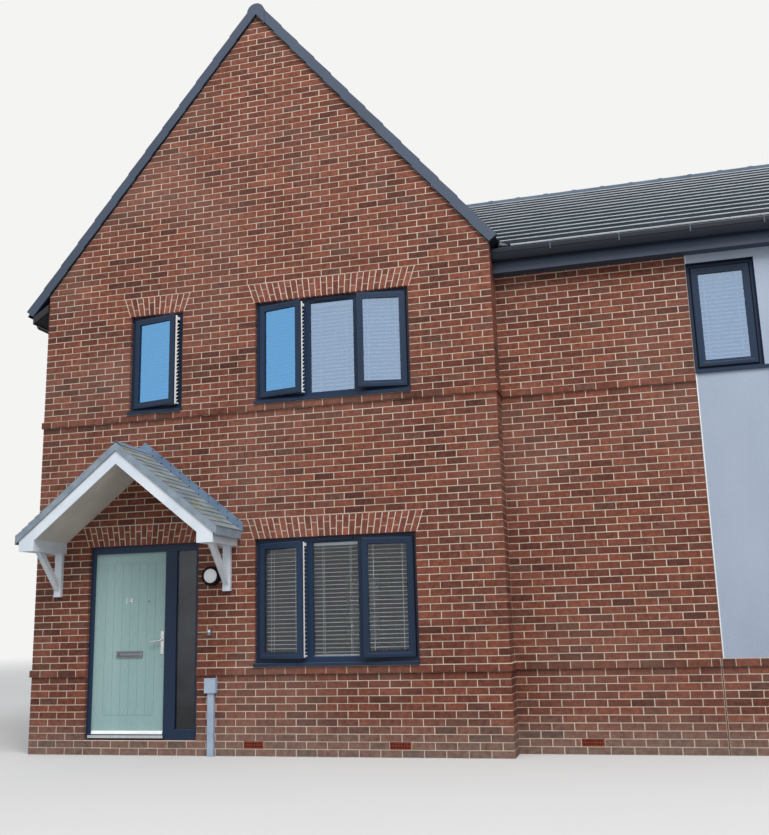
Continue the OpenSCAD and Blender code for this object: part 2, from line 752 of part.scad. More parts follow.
module rear_window_frames() color(anthracite) site() to_rear() {
    closed_window(wide_window, sill_z, ground_h, 3);
    closed_window(small_window, sill_z, ground_h, 1);
    closed_window(wide_window, upper_sill_z, upper_window_h, 3);
    closed_window(small_window, upper_sill_z, upper_window_h, 1);
    for (x = wing_windows) closed_window([x, small_window_w], upper_sill_z, upper_window_h, 1, wing_back);
}

// Turns a street-facing window to the left or right end wall
module to_left_end() translate([-gable_w / 2, side_window_y + small_window_w, 0]) rotate([0, 0, -90]) children();
module to_right_end() translate([wing_x1, side_window_y, 0]) rotate([0, 0, 90]) children();

side_opening = [0, small_window_w];
module side_windows() {
    closed_window(side_opening, sill_z, ground_h, 1);
    closed_window(side_opening, upper_sill_z, upper_window_h, 1);
}

module side_window_frames() color(anthracite) site() {
    to_left_end() side_windows();
    to_right_end() side_windows();
}

module casements() color(anthracite) site() {
    at_window(wide_window, sill_z) lights_of(wide_window, ground_h, 3, ajar, "sash");
    at_window(wide_window, upper_sill_z) lights_of(wide_window, upper_window_h, 3, ajar, "sash");
    at_window(small_window, upper_sill_z) lights_of(small_window, upper_window_h, 1, ajar, "sash");
}

// A pressed sill under a window, its nose out of the wall and past the opening by given horns
module window_sill(opening, z, y0 = 0, horns = [0, 0]) translate([opening[0], y0, z]) {
    block([0, -eps, 0], [opening[1], reveal + frame_d, sill_h]);
    block([-horns[0], -sill_nose, 0], [opening[1] + horns[1], 0, sill_h]);
}

// Sills of the wing windows, with a horn where the rendered panel goes on
module wing_sills() for (i = [0, 1])
    window_sill([wing_windows[i], small_window_w], upper_sill_z, wing_back, [i * sill_horn, (1 - i) * sill_horn]);

module window_sills() color(anthracite) site() {
    window_sill(wide_window, sill_z);
    window_sill(wide_window, upper_sill_z);
    window_sill(small_window, upper_sill_z);
    wing_sills();
    to_rear() {
        wing_sills();
        window_sill(wide_window, sill_z);
        window_sill(small_window, sill_z);
        window_sill(wide_window, upper_sill_z);
        window_sill(small_window, upper_sill_z);
    }
    for (z = [sill_z, upper_sill_z]) {
        to_left_end() window_sill(side_opening, z);
        to_right_end() window_sill(side_opening, z);
    }
}

// Panes of a window with its sashes shut
module shut_panes(opening, z, h, lights, y0 = 0) at_window(opening, z, y0)
    translate([0, seal, 0]) lights_of(opening, h, lights, 0, "pane");

module side_panes() {
    shut_panes(side_opening, sill_z, ground_h, 1);
    shut_panes(side_opening, upper_sill_z, upper_window_h, 1);
}

module window_glass() color("#8fb4d8") site() {
    at_window(wide_window, sill_z) lights_of(wide_window, ground_h, 3, ajar, "pane");
    at_window(wide_window, upper_sill_z) lights_of(wide_window, upper_window_h, 3, ajar, "pane");
    at_window(small_window, upper_sill_z) lights_of(small_window, upper_window_h, 1, ajar, "pane");
    for (x = wing_windows) shut_panes([x, small_window_w], upper_sill_z, upper_window_h, 1, wing_back);
    to_rear() {
        shut_panes(wide_window, sill_z, ground_h, 3);
        shut_panes(small_window, sill_z, ground_h, 1);
        shut_panes(wide_window, upper_sill_z, upper_window_h, 3);
        shut_panes(small_window, upper_sill_z, upper_window_h, 1);
        for (x = wing_windows) shut_panes([x, small_window_w], upper_sill_z, upper_window_h, 1, wing_back);
    }
    to_left_end() side_panes();
    to_right_end() side_panes();
}

// Door set: jambs, head, mullion, sidelight rails and threshold, with a stop lip in front of
// the leaf
door_jamb = 48;
door_head = 80;
door_threshold = 55;
door_mullion = 138;
side_rail = 110;
side_jamb = 42;
stop_lap = 14;
stop_t = 22;
leaf_x0 = door_x + window_x_gap + door_jamb - stop_lap + gap;
leaf_x1 = leaf_x0 + leaf_w;
leaf_z0 = floor_z + door_threshold + gap;
leaf_z1 = head_z - window_x_gap - door_head + stop_lap - gap;
leaf_y0 = reveal + stop_t + gap;
door_frame_y1 = leaf_y0 + leaf_t;
door_way_x0 = leaf_x0 - gap + stop_lap;
door_way_x1 = leaf_x1 + gap - stop_lap;
side_x0 = door_way_x1 + door_mullion;
side_x1 = door_x + door_w - window_x_gap - side_jamb;
side_z0 = floor_z + side_rail;
side_z1 = head_z - window_x_gap - door_head;

module door_frame() color(anthracite) site() difference() {
    block([door_x + window_x_gap, reveal, floor_z],
        [door_x + door_w - window_x_gap, door_frame_y1, head_z - window_x_gap]);
    block([door_way_x0, 0, floor_z + door_threshold],
        [door_way_x1, wall_t, leaf_z1 + gap - stop_lap]);
    block([leaf_x0 - gap, reveal + stop_t, floor_z + door_threshold],
        [leaf_x1 + gap, wall_t, leaf_z1 + gap]);
    block([side_x0, 0, side_z0], [side_x1, wall_t, side_z1]);
}

side_glass_in = 24;
module sidelight_glass() color("#5a6470") site()
    block([side_x0, reveal + side_glass_in, side_z0], [side_x1, reveal + side_glass_in + glass_t, side_z1]);

// Bright bar on the front of the threshold, and the sloped bar on the foot of the leaf
bar_h = 29;
bar_t = 26;
bar_down = 2;
module threshold_bar() color("silver") site()
    block([door_way_x0 - stop_lap, reveal - bar_t, floor_z + door_threshold - bar_h - bar_down],
        [door_way_x1 + stop_lap, reveal, floor_z + door_threshold - bar_down]);

weather_h = 34;
weather_t = 24;
weather_top_t = 8;
weather_in = 10;
module weather_bar() color("white") site()
    translate([door_way_x0 + weather_in, leaf_y0, leaf_z0]) rotate([90, 0, 90])
        linear_extrude(door_way_x1 - door_way_x0 - 2 * weather_in)
            polygon([[0, 0], [-weather_t, 0], [-weather_t, weather_top_t], [-weather_top_t, weather_h],
                [0, weather_h]]);

// Door leaf with a moulded outline and board grooves
panel_margin_x = 140;
panel_foot = 195;
panel_head = 122;
groove = 7;
groove_d = 3;
module front_door() color("#8fafa5") site() difference() {
    block([leaf_x0, leaf_y0, leaf_z0], [leaf_x1, leaf_y0 + leaf_t, leaf_z1]);
    boards = 6;
    px0 = leaf_x0 + panel_margin_x;
    px1 = leaf_x1 - panel_margin_x;
    pz0 = leaf_z0 + panel_foot;
    pz1 = leaf_z1 - panel_head;
    for (i = [0:boards]) translate([px0 + (px1 - px0) * i / boards - groove / 2, leaf_y0 - eps, pz0])
        cube([groove, groove_d + eps, pz1 - pz0]);
    for (z = [pz0, pz1]) translate([px0 - groove / 2, leaf_y0 - eps, z - groove / 2])
        cube([px1 - px0 + groove, groove_d + eps, groove]);
}

// Flag hinges on the room side of the left stile: a knuckle on the frame carries the pin, and
// the leaf's knuckle stands on it
hinge_r = 8;
hinge_x = leaf_x0 - gap / 2;
hinge_y = leaf_y0 + leaf_t + hinge_r;
hinge_from_foot = 200;
hinge_from_head = 250;
knuckle_h = 50;
hinge_zs = [leaf_z0 + hinge_from_foot, (leaf_z0 + leaf_z1) / 2, leaf_z1 - hinge_from_head];
flag_l = 38;
flag_t = 3;
module hinge_knuckle(z, side) {
    translate([hinge_x, hinge_y, z]) cylinder(r = hinge_r, h = knuckle_h);
    block([side < 0 ? hinge_x - flag_l : hinge_x, hinge_y - hinge_r, z],
        [side < 0 ? hinge_x : hinge_x + flag_l, hinge_y - hinge_r + flag_t, z + knuckle_h]);
}

module frame_hinges() color("white") site() for (z = hinge_zs) hinge_knuckle(z, -1);

module leaf_hinges() color("white") site() for (z = hinge_zs) hinge_knuckle(z + knuckle_h + seal, 1);

// Handle plate with its lock cylinder, and the lever that turns in front of it
lever_x = leaf_x1 - 45;
lever_z = 1200;
plate_w = 36;
plate_t = 8;
plate_up = 96;
plate_down = 149;
lock_r = 9;
lock_h = 6;
lock_down = 90;
module door_plate() color("silver") site() {
    block([lever_x - plate_w / 2, leaf_y0 - plate_t, lever_z - plate_down],
        [lever_x + plate_w / 2, leaf_y0, lever_z + plate_up]);
    translate([lever_x, leaf_y0 - plate_t, lever_z - lock_down]) rotate([90, 0, 0])
        cylinder(r = lock_r, h = lock_h);
}

lever_neck_r = 10;
lever_neck_l = 38;
lever_r = 8.5;
lever_elbow_r = 11.5;
lever_l = 130;
lever_droop = 6.5;
module door_lever() color("silver") site() translate([lever_x, leaf_y0 - plate_t - seal, lever_z]) {
    rotate([90, 0, 0]) cylinder(r = lever_neck_r, h = lever_neck_l);
    translate([0, -lever_neck_l, 0]) {
        rotate([0, -90 - lever_droop, 0]) cylinder(r = lever_r, h = lever_l);
        sphere(r = lever_elbow_r);
    }
}

// Letter plate: a frame round its flap
letter_x = leaf_x0 + 452;
letter_z = 1053;
letter_w = 320;
letter_h = 72;
letter_t = 10;
flap_in_x = 25;
flap_in_z = 15;
flap_in_y = 6;
module letter_plate() color("silver") site() difference() {
    block([letter_x - letter_w / 2, leaf_y0 - letter_t, letter_z - letter_h / 2],
        [letter_x + letter_w / 2, leaf_y0, letter_z + letter_h / 2]);
    block([letter_x - letter_w / 2 + flap_in_x, leaf_y0 - letter_t - eps, letter_z - letter_h / 2 + flap_in_z],
        [letter_x + letter_w / 2 - flap_in_x, leaf_y0 - letter_t + flap_in_y, letter_z + letter_h / 2 - flap_in_z]);
}

// Brick step under the threshold
module door_step() color("#7a3a30") site() block([door_x, 0, 0], [door_x + door_w, wall_t, floor_z]);

// Canopy over the door
canopy_half = canopy_w / 2;
canopy_tan = tan(canopy_pitch);
board_v = 145;
board_t = 22;
soffit_v = 134;
canopy_tile_v = 86;
canopy_tile_out = 43;
canopy_tile_nose = 12;
canopy_top_z = canopy_z + beam_h + canopy_half * canopy_tan;
canopy_in = canopy_half - beam_w;
module canopy_at() site() translate([canopy_x, 0, 0]) children();
module each_side() for (side = [0, 1]) mirror([side, 0, 0]) children();

// One raking band of the canopy, from the middle out: half width, top and thickness up
module rake(half, top_z, t) polygon([
    [seam, top_z - seam * canopy_tan], [half, top_z - half * canopy_tan],
    [half, top_z - half * canopy_tan - t], [seam, top_z - seam * canopy_tan - t]
]);

// Bargeboards: two rakes mitred at the top, each with a level foot over its beam
module bargeboards() color(paint_white) canopy_at() each_side()
    translate([0, -canopy_out + board_t, 0]) rotate([90, 0, 0]) linear_extrude(board_t) polygon([
        [seam, canopy_top_z - seam * canopy_tan], [canopy_half, canopy_z + beam_h],
        [canopy_half, canopy_z], [canopy_in, canopy_z],
        [canopy_in, canopy_top_z - canopy_in * canopy_tan - board_v],
        [seam, canopy_top_z - seam * canopy_tan - board_v]
    ]);

// Boarded rafters under the tiles, from the middle to the beams
module canopy_soffit() color("#e2dcc8") canopy_at() each_side()
    rotate([90, 0, 0]) linear_extrude(canopy_out - board_t) rake(canopy_in, canopy_top_z, soffit_v);

// Two tiled slopes, run a little past the boards
module canopy_roof() color("#6f7064") canopy_at() each_side()
    rotate([90, 0, 0]) linear_extrude(canopy_out + canopy_tile_nose)
        rake(canopy_half + canopy_tile_out, canopy_top_z + canopy_tile_v, canopy_tile_v);

// Sheet upstand against the wall over the tiles
flashing_v = 110;
flashing_out = 60;
flashing_t = 6;
module canopy_flashing() color("#5f7183") canopy_at() each_side()
    rotate([90, 0, 0]) linear_extrude(flashing_t)
        rake(canopy_half + flashing_out, canopy_top_z + canopy_tile_v + flashing_v + hair, flashing_v);

// Gallows brackets: a boxed beam, a wall post with a splayed foot and a raking brace
post_x = 1035;
post_w = 86;
post_d = 50;
post_h = 480;
arm_l = 450;
brace_w = 60;
brace_h = 80;
brace_up = 60;
module gallows_brackets() color(paint_white) canopy_at() each_side() {
    rotate([90, 0, 0]) linear_extrude(canopy_out - board_t) polygon([
        [canopy_in, canopy_z], [canopy_half, canopy_z], [canopy_half, canopy_z + beam_h],
        [canopy_in, canopy_z + beam_h + beam_w * canopy_tan]
    ]);
    block([post_x - post_w / 2, -post_d, canopy_z - post_h], [post_x + post_w / 2, 0, canopy_z]);
    translate([post_x - brace_w / 2, 0, canopy_z]) rotate([90, 0, 90]) linear_extrude(brace_w)
        polygon([[-post_d, -post_h + brace_up], [-post_d, -post_h + brace_up + brace_h],
            [-arm_l + brace_h, 0], [-arm_l, 0]]);
}

// Round bulkhead lamp
lamp_x = -505;
lamp_z = 1870;
lamp_r = 97;
lamp_t = 50;
diffuser_r = 82;
diffuser_t = 30;
module lamp_base() color("#1c1c1e") site() translate([lamp_x, 0, lamp_z]) rotate([90, 0, 0])
    cylinder(r = lamp_r, h = lamp_t);

module lamp_diffuser() color("white") site() translate([lamp_x, -lamp_t, lamp_z]) rotate([90, 0, 0])
    cylinder(r = diffuser_r, h = diffuser_t);

bell_x = -552;
bell_z = 1239;
bell_w = 38;
bell_h = 65;
bell_t = 18;
module doorbell() color("silver") site()
    block([bell_x, -bell_t, bell_z], [bell_x + bell_w, 0, bell_z + bell_h]);

// Meter box and the duct that comes up to it
box_x = -565;
box_z = 641;
box_w = 130;
box_h = 151;
box_t = 60;
duct_x = -531;
duct_w = 70;
duct_t = 45;
module service_box() color("#9aa4ae") site() {
    block([box_x, -box_t, box_z], [box_x + box_w, 0, box_z + box_h]);
    block([duct_x, -duct_t, 0], [duct_x + duct_w, 0, box_z]);
}

// Air bricks let into the walls one course above the ground
front_air_bricks = [-135, 1445];
wing_air_bricks = [3320];
air_z = course;
air_rim = 12;
air_slot = 20;
air_bar = 9;
air_slots = 7;
module air_pocket(x, y0) block([x, y0 - eps, air_z], [x + brick_l, y0 + air_brick_t, air_z + course]);
module air_brick(x, y0) difference() {
    block([x, y0, air_z], [x + brick_l, y0 + air_brick_t, air_z + course]);
    for (i = [0:air_slots - 1], k = [0, 1])
        translate([x + air_rim + i * (air_slot + air_bar), y0 - eps, air_z + air_rim + k * (air_slot + air_bar)])
            cube([air_slot, air_rim, air_slot]);
}

module air_bricks() color("#a4513a") site() {
    for (x = front_air_bricks) air_brick(x, 0);
    for (x = wing_air_bricks) air_brick(x, wing_back);
}

front_wall_left();
front_wall_right();
front_wall_upper();
left_wall();
rear_wall_lower();
rear_wall_upper();
wing_front_wall();
wing_rear_wall();
wing_end_wall();
brick_arches();
render_panels();
ground_floor();
upper_floor();
gable_roof_left();
gable_roof_right();
wing_roof_front();
wing_roof_rear();
ridge_tiles();
verge_caps();
valley_linings();
eaves_boards();
gutters();
wide_window_frames();
small_window_frames();
rear_window_frames();
side_window_frames();
casements();
window_sills();
window_glass();
door_frame();
sidelight_glass();
threshold_bar();
front_door();
weather_bar();
frame_hinges();
leaf_hinges();
door_plate();
door_lever();
letter_plate();
door_step();
bargeboards();
canopy_soffit();
canopy_roof();
canopy_flashing();
gallows_brackets();
lamp_base();
lamp_diffuser();
doorbell();
service_box();
air_bricks();
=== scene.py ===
import bpy
import numpy as np
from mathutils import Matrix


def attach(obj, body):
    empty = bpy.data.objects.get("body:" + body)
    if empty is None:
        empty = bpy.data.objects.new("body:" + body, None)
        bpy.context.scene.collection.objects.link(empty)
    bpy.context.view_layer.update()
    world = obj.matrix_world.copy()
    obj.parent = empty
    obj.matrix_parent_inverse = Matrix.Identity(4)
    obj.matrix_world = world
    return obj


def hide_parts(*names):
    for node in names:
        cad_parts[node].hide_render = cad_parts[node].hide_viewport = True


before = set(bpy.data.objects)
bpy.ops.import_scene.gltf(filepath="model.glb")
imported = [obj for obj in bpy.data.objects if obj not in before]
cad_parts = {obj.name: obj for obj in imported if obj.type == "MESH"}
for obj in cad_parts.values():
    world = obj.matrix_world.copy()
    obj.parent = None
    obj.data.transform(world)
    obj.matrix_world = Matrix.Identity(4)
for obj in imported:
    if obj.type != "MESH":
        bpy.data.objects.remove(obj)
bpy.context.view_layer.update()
dice = np.random.default_rng(41)
print("house: frame loaded,", len(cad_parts), "parts")


cameraSet = {"place": (4.017, -14.1495, 1.332), "yaw": -14.56, "pitch": -12.04, "roll": -1.54,
        "focalPixels": 957.7, "imageWide": 769, "filmWide": 36.0, "clipEnd": 400}


def rotation(axis, degrees):
    # a turn about x (0) or z (2): the cosine twice on the diagonal, the sine and its negative across it
    a, b = (1, 2) if axis == 0 else (0, 1)
    angle = np.radians(degrees)
    turn = np.eye(3)
    turn[[a, b], [a, b]] = np.cos(angle)
    turn[a, b], turn[b, a] = -np.sin(angle), np.sin(angle)
    return turn


def inScene(name, data, axes=np.eye(3), place=(0, 0, 0)):
    # a new object of the scene at a place; axes are the ways of its own x, y and z
    thing = bpy.data.objects.new(name, data)
    matrix = np.eye(4)
    matrix[:3, :3] = np.stack(axes, 1)
    matrix[:3, 3] = place
    thing.matrix_world = matrix.T.tolist()
    bpy.context.collection.objects.link(thing)
    return thing


def addCamera(s):
    # world to camera: yaw about z, lay z down the image, tilt by the pitch, roll about the view
    down = np.array([[1, 0, 0], [0, 0, -1], [0, 1, 0]])
    view = rotation(2, s["roll"]) @ rotation(0, s["pitch"]) @ down @ rotation(2, s["yaw"])
    lens = bpy.data.cameras.new("viewCamera")
    lens.sensor_fit = "HORIZONTAL"
    lens.sensor_width = s["filmWide"]
    lens.lens = s["focalPixels"] / s["imageWide"] * s["filmWide"]
    lens.clip_end = s["clipEnd"]
    bpy.context.scene.camera = inScene("viewCamera", lens, [view[0], -view[1], -view[2]], s["place"])


addCamera(cameraSet)
bpy.context.scene.view_settings.view_transform = "Standard"


def linearColour(hexText):
    # sRGB to linear light: c / 12.92 up to 0.04045, above it ((c + 0.055) / 1.055) to the power 2.4
    parts = np.array([int(hexText[i:i + 2], 16) for i in (1, 3, 5)]) / 255
    light = np.where(parts <= 0.04045, parts / 12.92, ((parts + 0.055) / 1.055) ** 2.4)
    return [float(c) for c in light] + [1.0]


def nodeAdder(tree):
    # gives the function that adds one node to a tree, with its settings. Inputs go by name, or in the order of the
    # sockets in use: a value, a hex colour, an output, or a node for its first output
    def add(kind, inputs=(), **settings):
        node = tree.nodes.new("ShaderNode" + kind)
        for name, value in settings.items():
            setattr(node, name, value)
        inUse = [socket for socket in node.inputs if socket.enabled]
        for key, value in inputs.items() if isinstance(inputs, dict) else enumerate(inputs):
            socket = node.inputs[key] if isinstance(key, str) else inUse[key]
            if isinstance(value, bpy.types.Node):
                value = next(output for output in value.outputs if output.enabled)
            if isinstance(value, bpy.types.NodeSocket):
                tree.links.new(value, socket)
            else:
                socket.default_value = linearColour(value) if isinstance(value, str) else value
        return node
    tree.nodes.clear()
    return add


def startMaterial(name):
    material = bpy.data.materials.new(name)
    material.use_nodes = True
    add = nodeAdder(material.node_tree)
    return material, add, add("TexCoord").outputs["Object"]


def closeMaterial(add, colour, height, strength, deep, surface):
    # the end of every material: relief from a pattern, its depth in metres, then the values of the surface itself
    bump = add("Bump", {"Height": height, "Strength": strength, "Distance": deep})
    add("OutputMaterial", [add("BsdfPrincipled", {"Base Color": colour, "Normal": bump, **surface})])


def millimetres(size):
    # Noise repeats about once a unit, and Object coordinates are in metres
    return 1000.0 / size


mattSurface = {"Roughness": 0.9, "Specular IOR Level": 0.2}


def facingBrick(name, low, high, flash, plum, bloom, splash):
    # wire-cut facing brick, fired red: matt and sanded, each brick its own shade, some flashed dark or plum in the
    # kiln; mortar bloom in soft patches, and rain splash greys the foot courses
    material, add, place = startMaterial(name)
    own = add("SeparateColor", [add("Attribute", attribute_name="tone")]).outputs
    blotch = add("TexNoise", [place, millimetres(50), 4])
    grit = add("TexNoise", [place, millimetres(14), 5, 0.75])
    broad = add("TexNoise", [place, millimetres(1300), 5])
    height = add("SeparateXYZ", [place]).outputs["Z"]
    rareDark = add("MapRange", [own[1], 0.78, 1.0])
    rarePlum = add("MapRange", [own[2], 0.88, 1.05])
    cloud = add("MapRange", [blotch, 0.3, 0.7, 0.71, 1.27])
    speck = add("MapRange", [grit, 0.3, 0.7, 0.72, 1.26])
    uneven = add("Math", [cloud, speck], operation="MULTIPLY")
    bloomed = add("MapRange", [broad, 0.48, 0.74, 0.0, 0.24])
    foot = add("MapRange", [height, 0.05, 0.42, 1.0, 0.0])
    splashed = add("Math", [foot, blotch], operation="MULTIPLY")
    colour = add("Mix", [own[0], low, high], data_type="RGBA")
    colour = add("Mix", [rareDark, colour, flash], data_type="RGBA")
    colour = add("Mix", [rarePlum, colour, plum], data_type="RGBA")
    colour = add("VectorMath", [colour, uneven], operation="SCALE")
    colour = add("Mix", [bloomed, colour, bloom], data_type="RGBA")
    colour = add("Mix", [splashed, colour, splash], data_type="RGBA")
    closeMaterial(add, colour, grit, 0.6, 0.003, mattSurface)
    return material


roomSet = {"leftX": -2.41, "gableX": 2.41, "endX": 9.16, "wingY": 3.76, "gableDeeper": 0.33}


def insideRooms(add, place, s):
    # 1 between the inner faces of the outer walls, where the painted room shade goes: abs(y) below the wing's inner
    # face, a little more in the gable block, and x between left wall and end wall
    axes = add("SeparateXYZ", [place]).outputs
    away = add("Math", [axes["Y"]], operation="ABSOLUTE")
    isGable = add("Math", [axes["X"], s["gableX"]], operation="LESS_THAN")
    inner = add("Math", [isGable, s["gableDeeper"], s["wingY"]], operation="MULTIPLY_ADD")
    within = add("Math", [away, inner], operation="LESS_THAN")
    beyondLeft = add("Math", [axes["X"], s["leftX"]], operation="GREATER_THAN")
    beforeEnd = add("Math", [axes["X"], s["endX"]], operation="LESS_THAN")
    along = add("Math", [beyondLeft, beforeEnd], operation="MULTIPLY")
    return add("Math", [within, along], operation="MULTIPLY")


def mottled(name, low, high, patch, grain, rough, deep, specular=0.5, metallic=0.0, stretch=(1, 1, 1),
        grainShare=0.35, shadeLeftOf=None, paintedHighlightUp=None, paintedShadeDown=None, plasterRoomShade=None):
    # two shades of one finish: soft patches of one size, a finer grain of another, and the grain as relief. Painted
    # light:
    # a highlight pales what faces up, shade darkens what faces down, shade left of a given x, and the room side of a
    # wall is plastered in a dark grey that stands for the shade of the unlit rooms
    material, add, place = startMaterial(name)
    pulled = add("Mapping", {"Vector": place, "Scale": stretch})
    cloud = add("TexNoise", [pulled, millimetres(patch), 4])
    fine = add("TexNoise", [pulled, millimetres(grain), 2])
    blend = add("Mix", [grainShare, cloud, fine])
    spread = add("MapRange", [blend, 0.35, 0.65])
    colour = add("Mix", [spread, low, high], data_type="RGBA")
    # painted shade: another colour left of a given x
    if shadeLeftOf:  # another colour left of a given x
        isLeft = add("Math", [add("SeparateXYZ", [place]), shadeLeftOf[0]], operation="LESS_THAN")
        colour = add("Mix", [isLeft, colour, shadeLeftOf[1]], data_type="RGBA")
    # painted highlight on faces turned up, painted shade on faces turned down
    for tone, level in ((paintedHighlightUp, 0.62), (paintedShadeDown, -0.62)):
        if tone:
            facing = add("SeparateXYZ", [add("TexCoord").outputs["Normal"]]).outputs["Z"]
            share = add("MapRange", [facing, level * 0.4, level, 0.0, 0.85])
            colour = add("Mix", [share, colour, tone], data_type="RGBA")
    if plasterRoomShade:
        colour = add("Mix", [insideRooms(add, place, roomSet), colour, plasterRoomShade], data_type="RGBA")
    closeMaterial(add, colour, fine, 0.4, deep,
            {"Roughness": rough, "Specular IOR Level": specular, "Metallic": metallic})
    return material


def mossyTile(name, base, worn, moss, bare):
    # small concrete tiles that face away from the sun: grey, with yellow-green lichen that keeps to the tails
    material, add, place = startMaterial(name)
    own = add("SeparateColor", [add("Attribute", attribute_name="tone")])
    broad = add("TexNoise", [place, millimetres(260), 4])
    spots = add("TexNoise", [place, millimetres(28), 4, 0.7])
    grown = add("Math", [broad, spots])
    share = add("MapRange", [grown, 2 * bare - 0.1, 2 * bare + 0.14])
    colour = add("Mix", [own, base, worn], data_type="RGBA")
    colour = add("Mix", [share, colour, moss], data_type="RGBA")
    closeMaterial(add, colour, spots, 0.6, 0.003, mattSurface)
    return material


# where the painted sky reflection goes, and its mirror shares
glassSet = {"frontBefore": -4.2, "leftBefore": 0.56, "upperFrom": 3.5, "paintedMirror": 0.53, "strongPaintedMirror": 0.15}


def floatGlass(name, clear, pale, sun, s):
    # float glass in sealed units, very slightly uneven from the rolling. Painted reflection: panes of the upper
    # floor get a part mirror and a pale blue tint for the sky they reflect, and those of the upper left sashes a
    # stronger blue one;
    # the mirror acts where light enters a pane and not where it leaves
    material, add, place = startMaterial(name)
    axes = add("SeparateXYZ", [place]).outputs
    isFront = add("Math", [axes["Y"], s["frontBefore"]], operation="LESS_THAN")
    isLeft = add("Math", [axes["X"], s["leftBefore"]], operation="LESS_THAN")
    upper = add("Math", [axes["Z"], s["upperFrom"]], operation="GREATER_THAN")
    corner = add("Math", [isFront, isLeft], operation="MULTIPLY")
    strong = add("Math", [corner, upper], operation="MULTIPLY")
    # painted reflection: the pale sky tint on upper panes, the blue one on the upper left sashes
    tint = add("Mix", [upper, clear, pale], data_type="RGBA")
    tint = add("Mix", [strong, tint, sun], data_type="RGBA")
    paintedMirror = add("Math", [upper, s["paintedMirror"]], operation="MULTIPLY")
    share = add("Math", [strong, s["strongPaintedMirror"], paintedMirror], operation="MULTIPLY_ADD")
    leaving = add("NewGeometry").outputs["Backfacing"]
    mirror = add("Mix", [leaving, share, 0.0])
    wave = add("TexNoise", [place, millimetres(420), 0])
    closeMaterial(add, tint, wave, 0.15, 0.004, {"Roughness": 0.01, "Transmission Weight": 1.0, "Metallic": mirror})
    return material


def smokedGlass(name, low, high):
    # glass with a grey film, in the narrow light beside the door: dark, paler towards the top, partly let through
    material, add, place = startMaterial(name)
    wave = add("TexNoise", [place, millimetres(380), 2])
    height = add("MapRange", [add("SeparateXYZ", [place]).outputs["Z"], 0.2, 2.6, -0.55, 0.45])
    film = add("Math", [wave, height], use_clamp=True)
    colour = add("Mix", [film, low, high], data_type="RGBA")
    closeMaterial(add, colour, wave, 0.2, 0.004, {"Roughness": 0.06, "Transmission Weight": 0.3})
    return material


# sand and cement mortar, struck with a trowel: pale buff and gritty; the room side is skimmed, in a flat dark grey
# that is painted shade of the unlit rooms
mortar = mottled("sandMortar", "#bfae9b", "#dccdb9", 320, 4, 0.95, 0.0012, specular=0.2, grainShare=0.4,
        plasterRoomShade="#343333")
archMortar = mottled("archMortar", "#cdbdad", "#e2d5c6", 150, 4, 0.95, 0.0012, specular=0.2)
# low and high of the usual shades, flashed, plum, bloom and splash
brickFace = facingBrick("facingBrick", "#653a2f", "#804b3b", "#53322a", "#60463d", "#9a7f73", "#877b72")
archFace = facingBrick("archBrick", "#714036", "#8a5242", "#633a30", "#774d42", "#98786b", "#877b72")
# through-coloured render, sponge-floated: cool white with faint rain marks
renderCoat = mottled("spongedRender", "#95a1b2", "#a6b1c1", 700, 6, 0.92, 0.0014, specular=0.2, stretch=(1, 1, 0.35))
roomConcrete = mottled("powerFloatedConcrete", "#7f7c76", "#98948c", 500, 12, 0.8, 0.001)
roomTimber = mottled("chipboardDeck", "#a98d64", "#c4aa80", 200, 9, 0.8, 0.0006)
# flat concrete roof tiles, smooth grey: dark on the weathered backs by painted shade, pale on the cut nose by a
# painted highlight where it catches the sky
shadedTileBack = mottled("concreteTileBack", "#1a1f25", "#293038", 520, 7, 0.95, 0.0012, specular=0.04)
litTileNose = mottled("concreteTileNose", "#c3c9cd", "#dde1e4", 300, 5, 0.85, 0.0008, specular=0.2)
ridgeFace = mottled("concreteRidge", "#414d5d", "#5a6676", 400, 8, 0.8, 0.001, specular=0.35)
# extruded PVC verge units with a fine moulded grain: slate blue, a dull sheen
vergePlastic = mottled("mouldedVerge", "#303c4e", "#3e4b5e", 900, 3, 0.5, 0.0003)
# glossy black rainwater PVC; the clips over its unions are a paler grey
gutterPlastic = mottled("rainwaterPvc", "#080e1a", "#111a29", 600, 20, 0.4, 0.0002, specular=0.3)
# boards foiled like the windows; painted shade makes them near black left of x = -2.6, at the left eaves
fasciaBoard = mottled("foiledFascia", "#222e41", "#2d3a4f", 900, 3, 0.45, 0.0003, stretch=(0.12, 0.12, 1),
        shadeLeftOf=(-2.6, "#11161f"))
# window profile: PVC wrapped in an anthracite foil with a shallow wood grain; a painted highlight pales the faces
# turned up and painted shade darkens those turned down
framePlastic = mottled("foiledFrame", "#15263e", "#20344e", 600, 2.5, 0.42, 0.00025, specular=0.27,
        stretch=(1, 1, 0.12), paintedHighlightUp="#5d6b7c", paintedShadeDown="#0b1017")
# clear, and the painted pale and blue sky tints
glassPane = floatGlass("floatGlass", "#e6edf4", "#bedbff", "#74c1ff", glassSet)
sideGlass = smokedGlass("smokedGlass", "#15181c", "#5b626c")
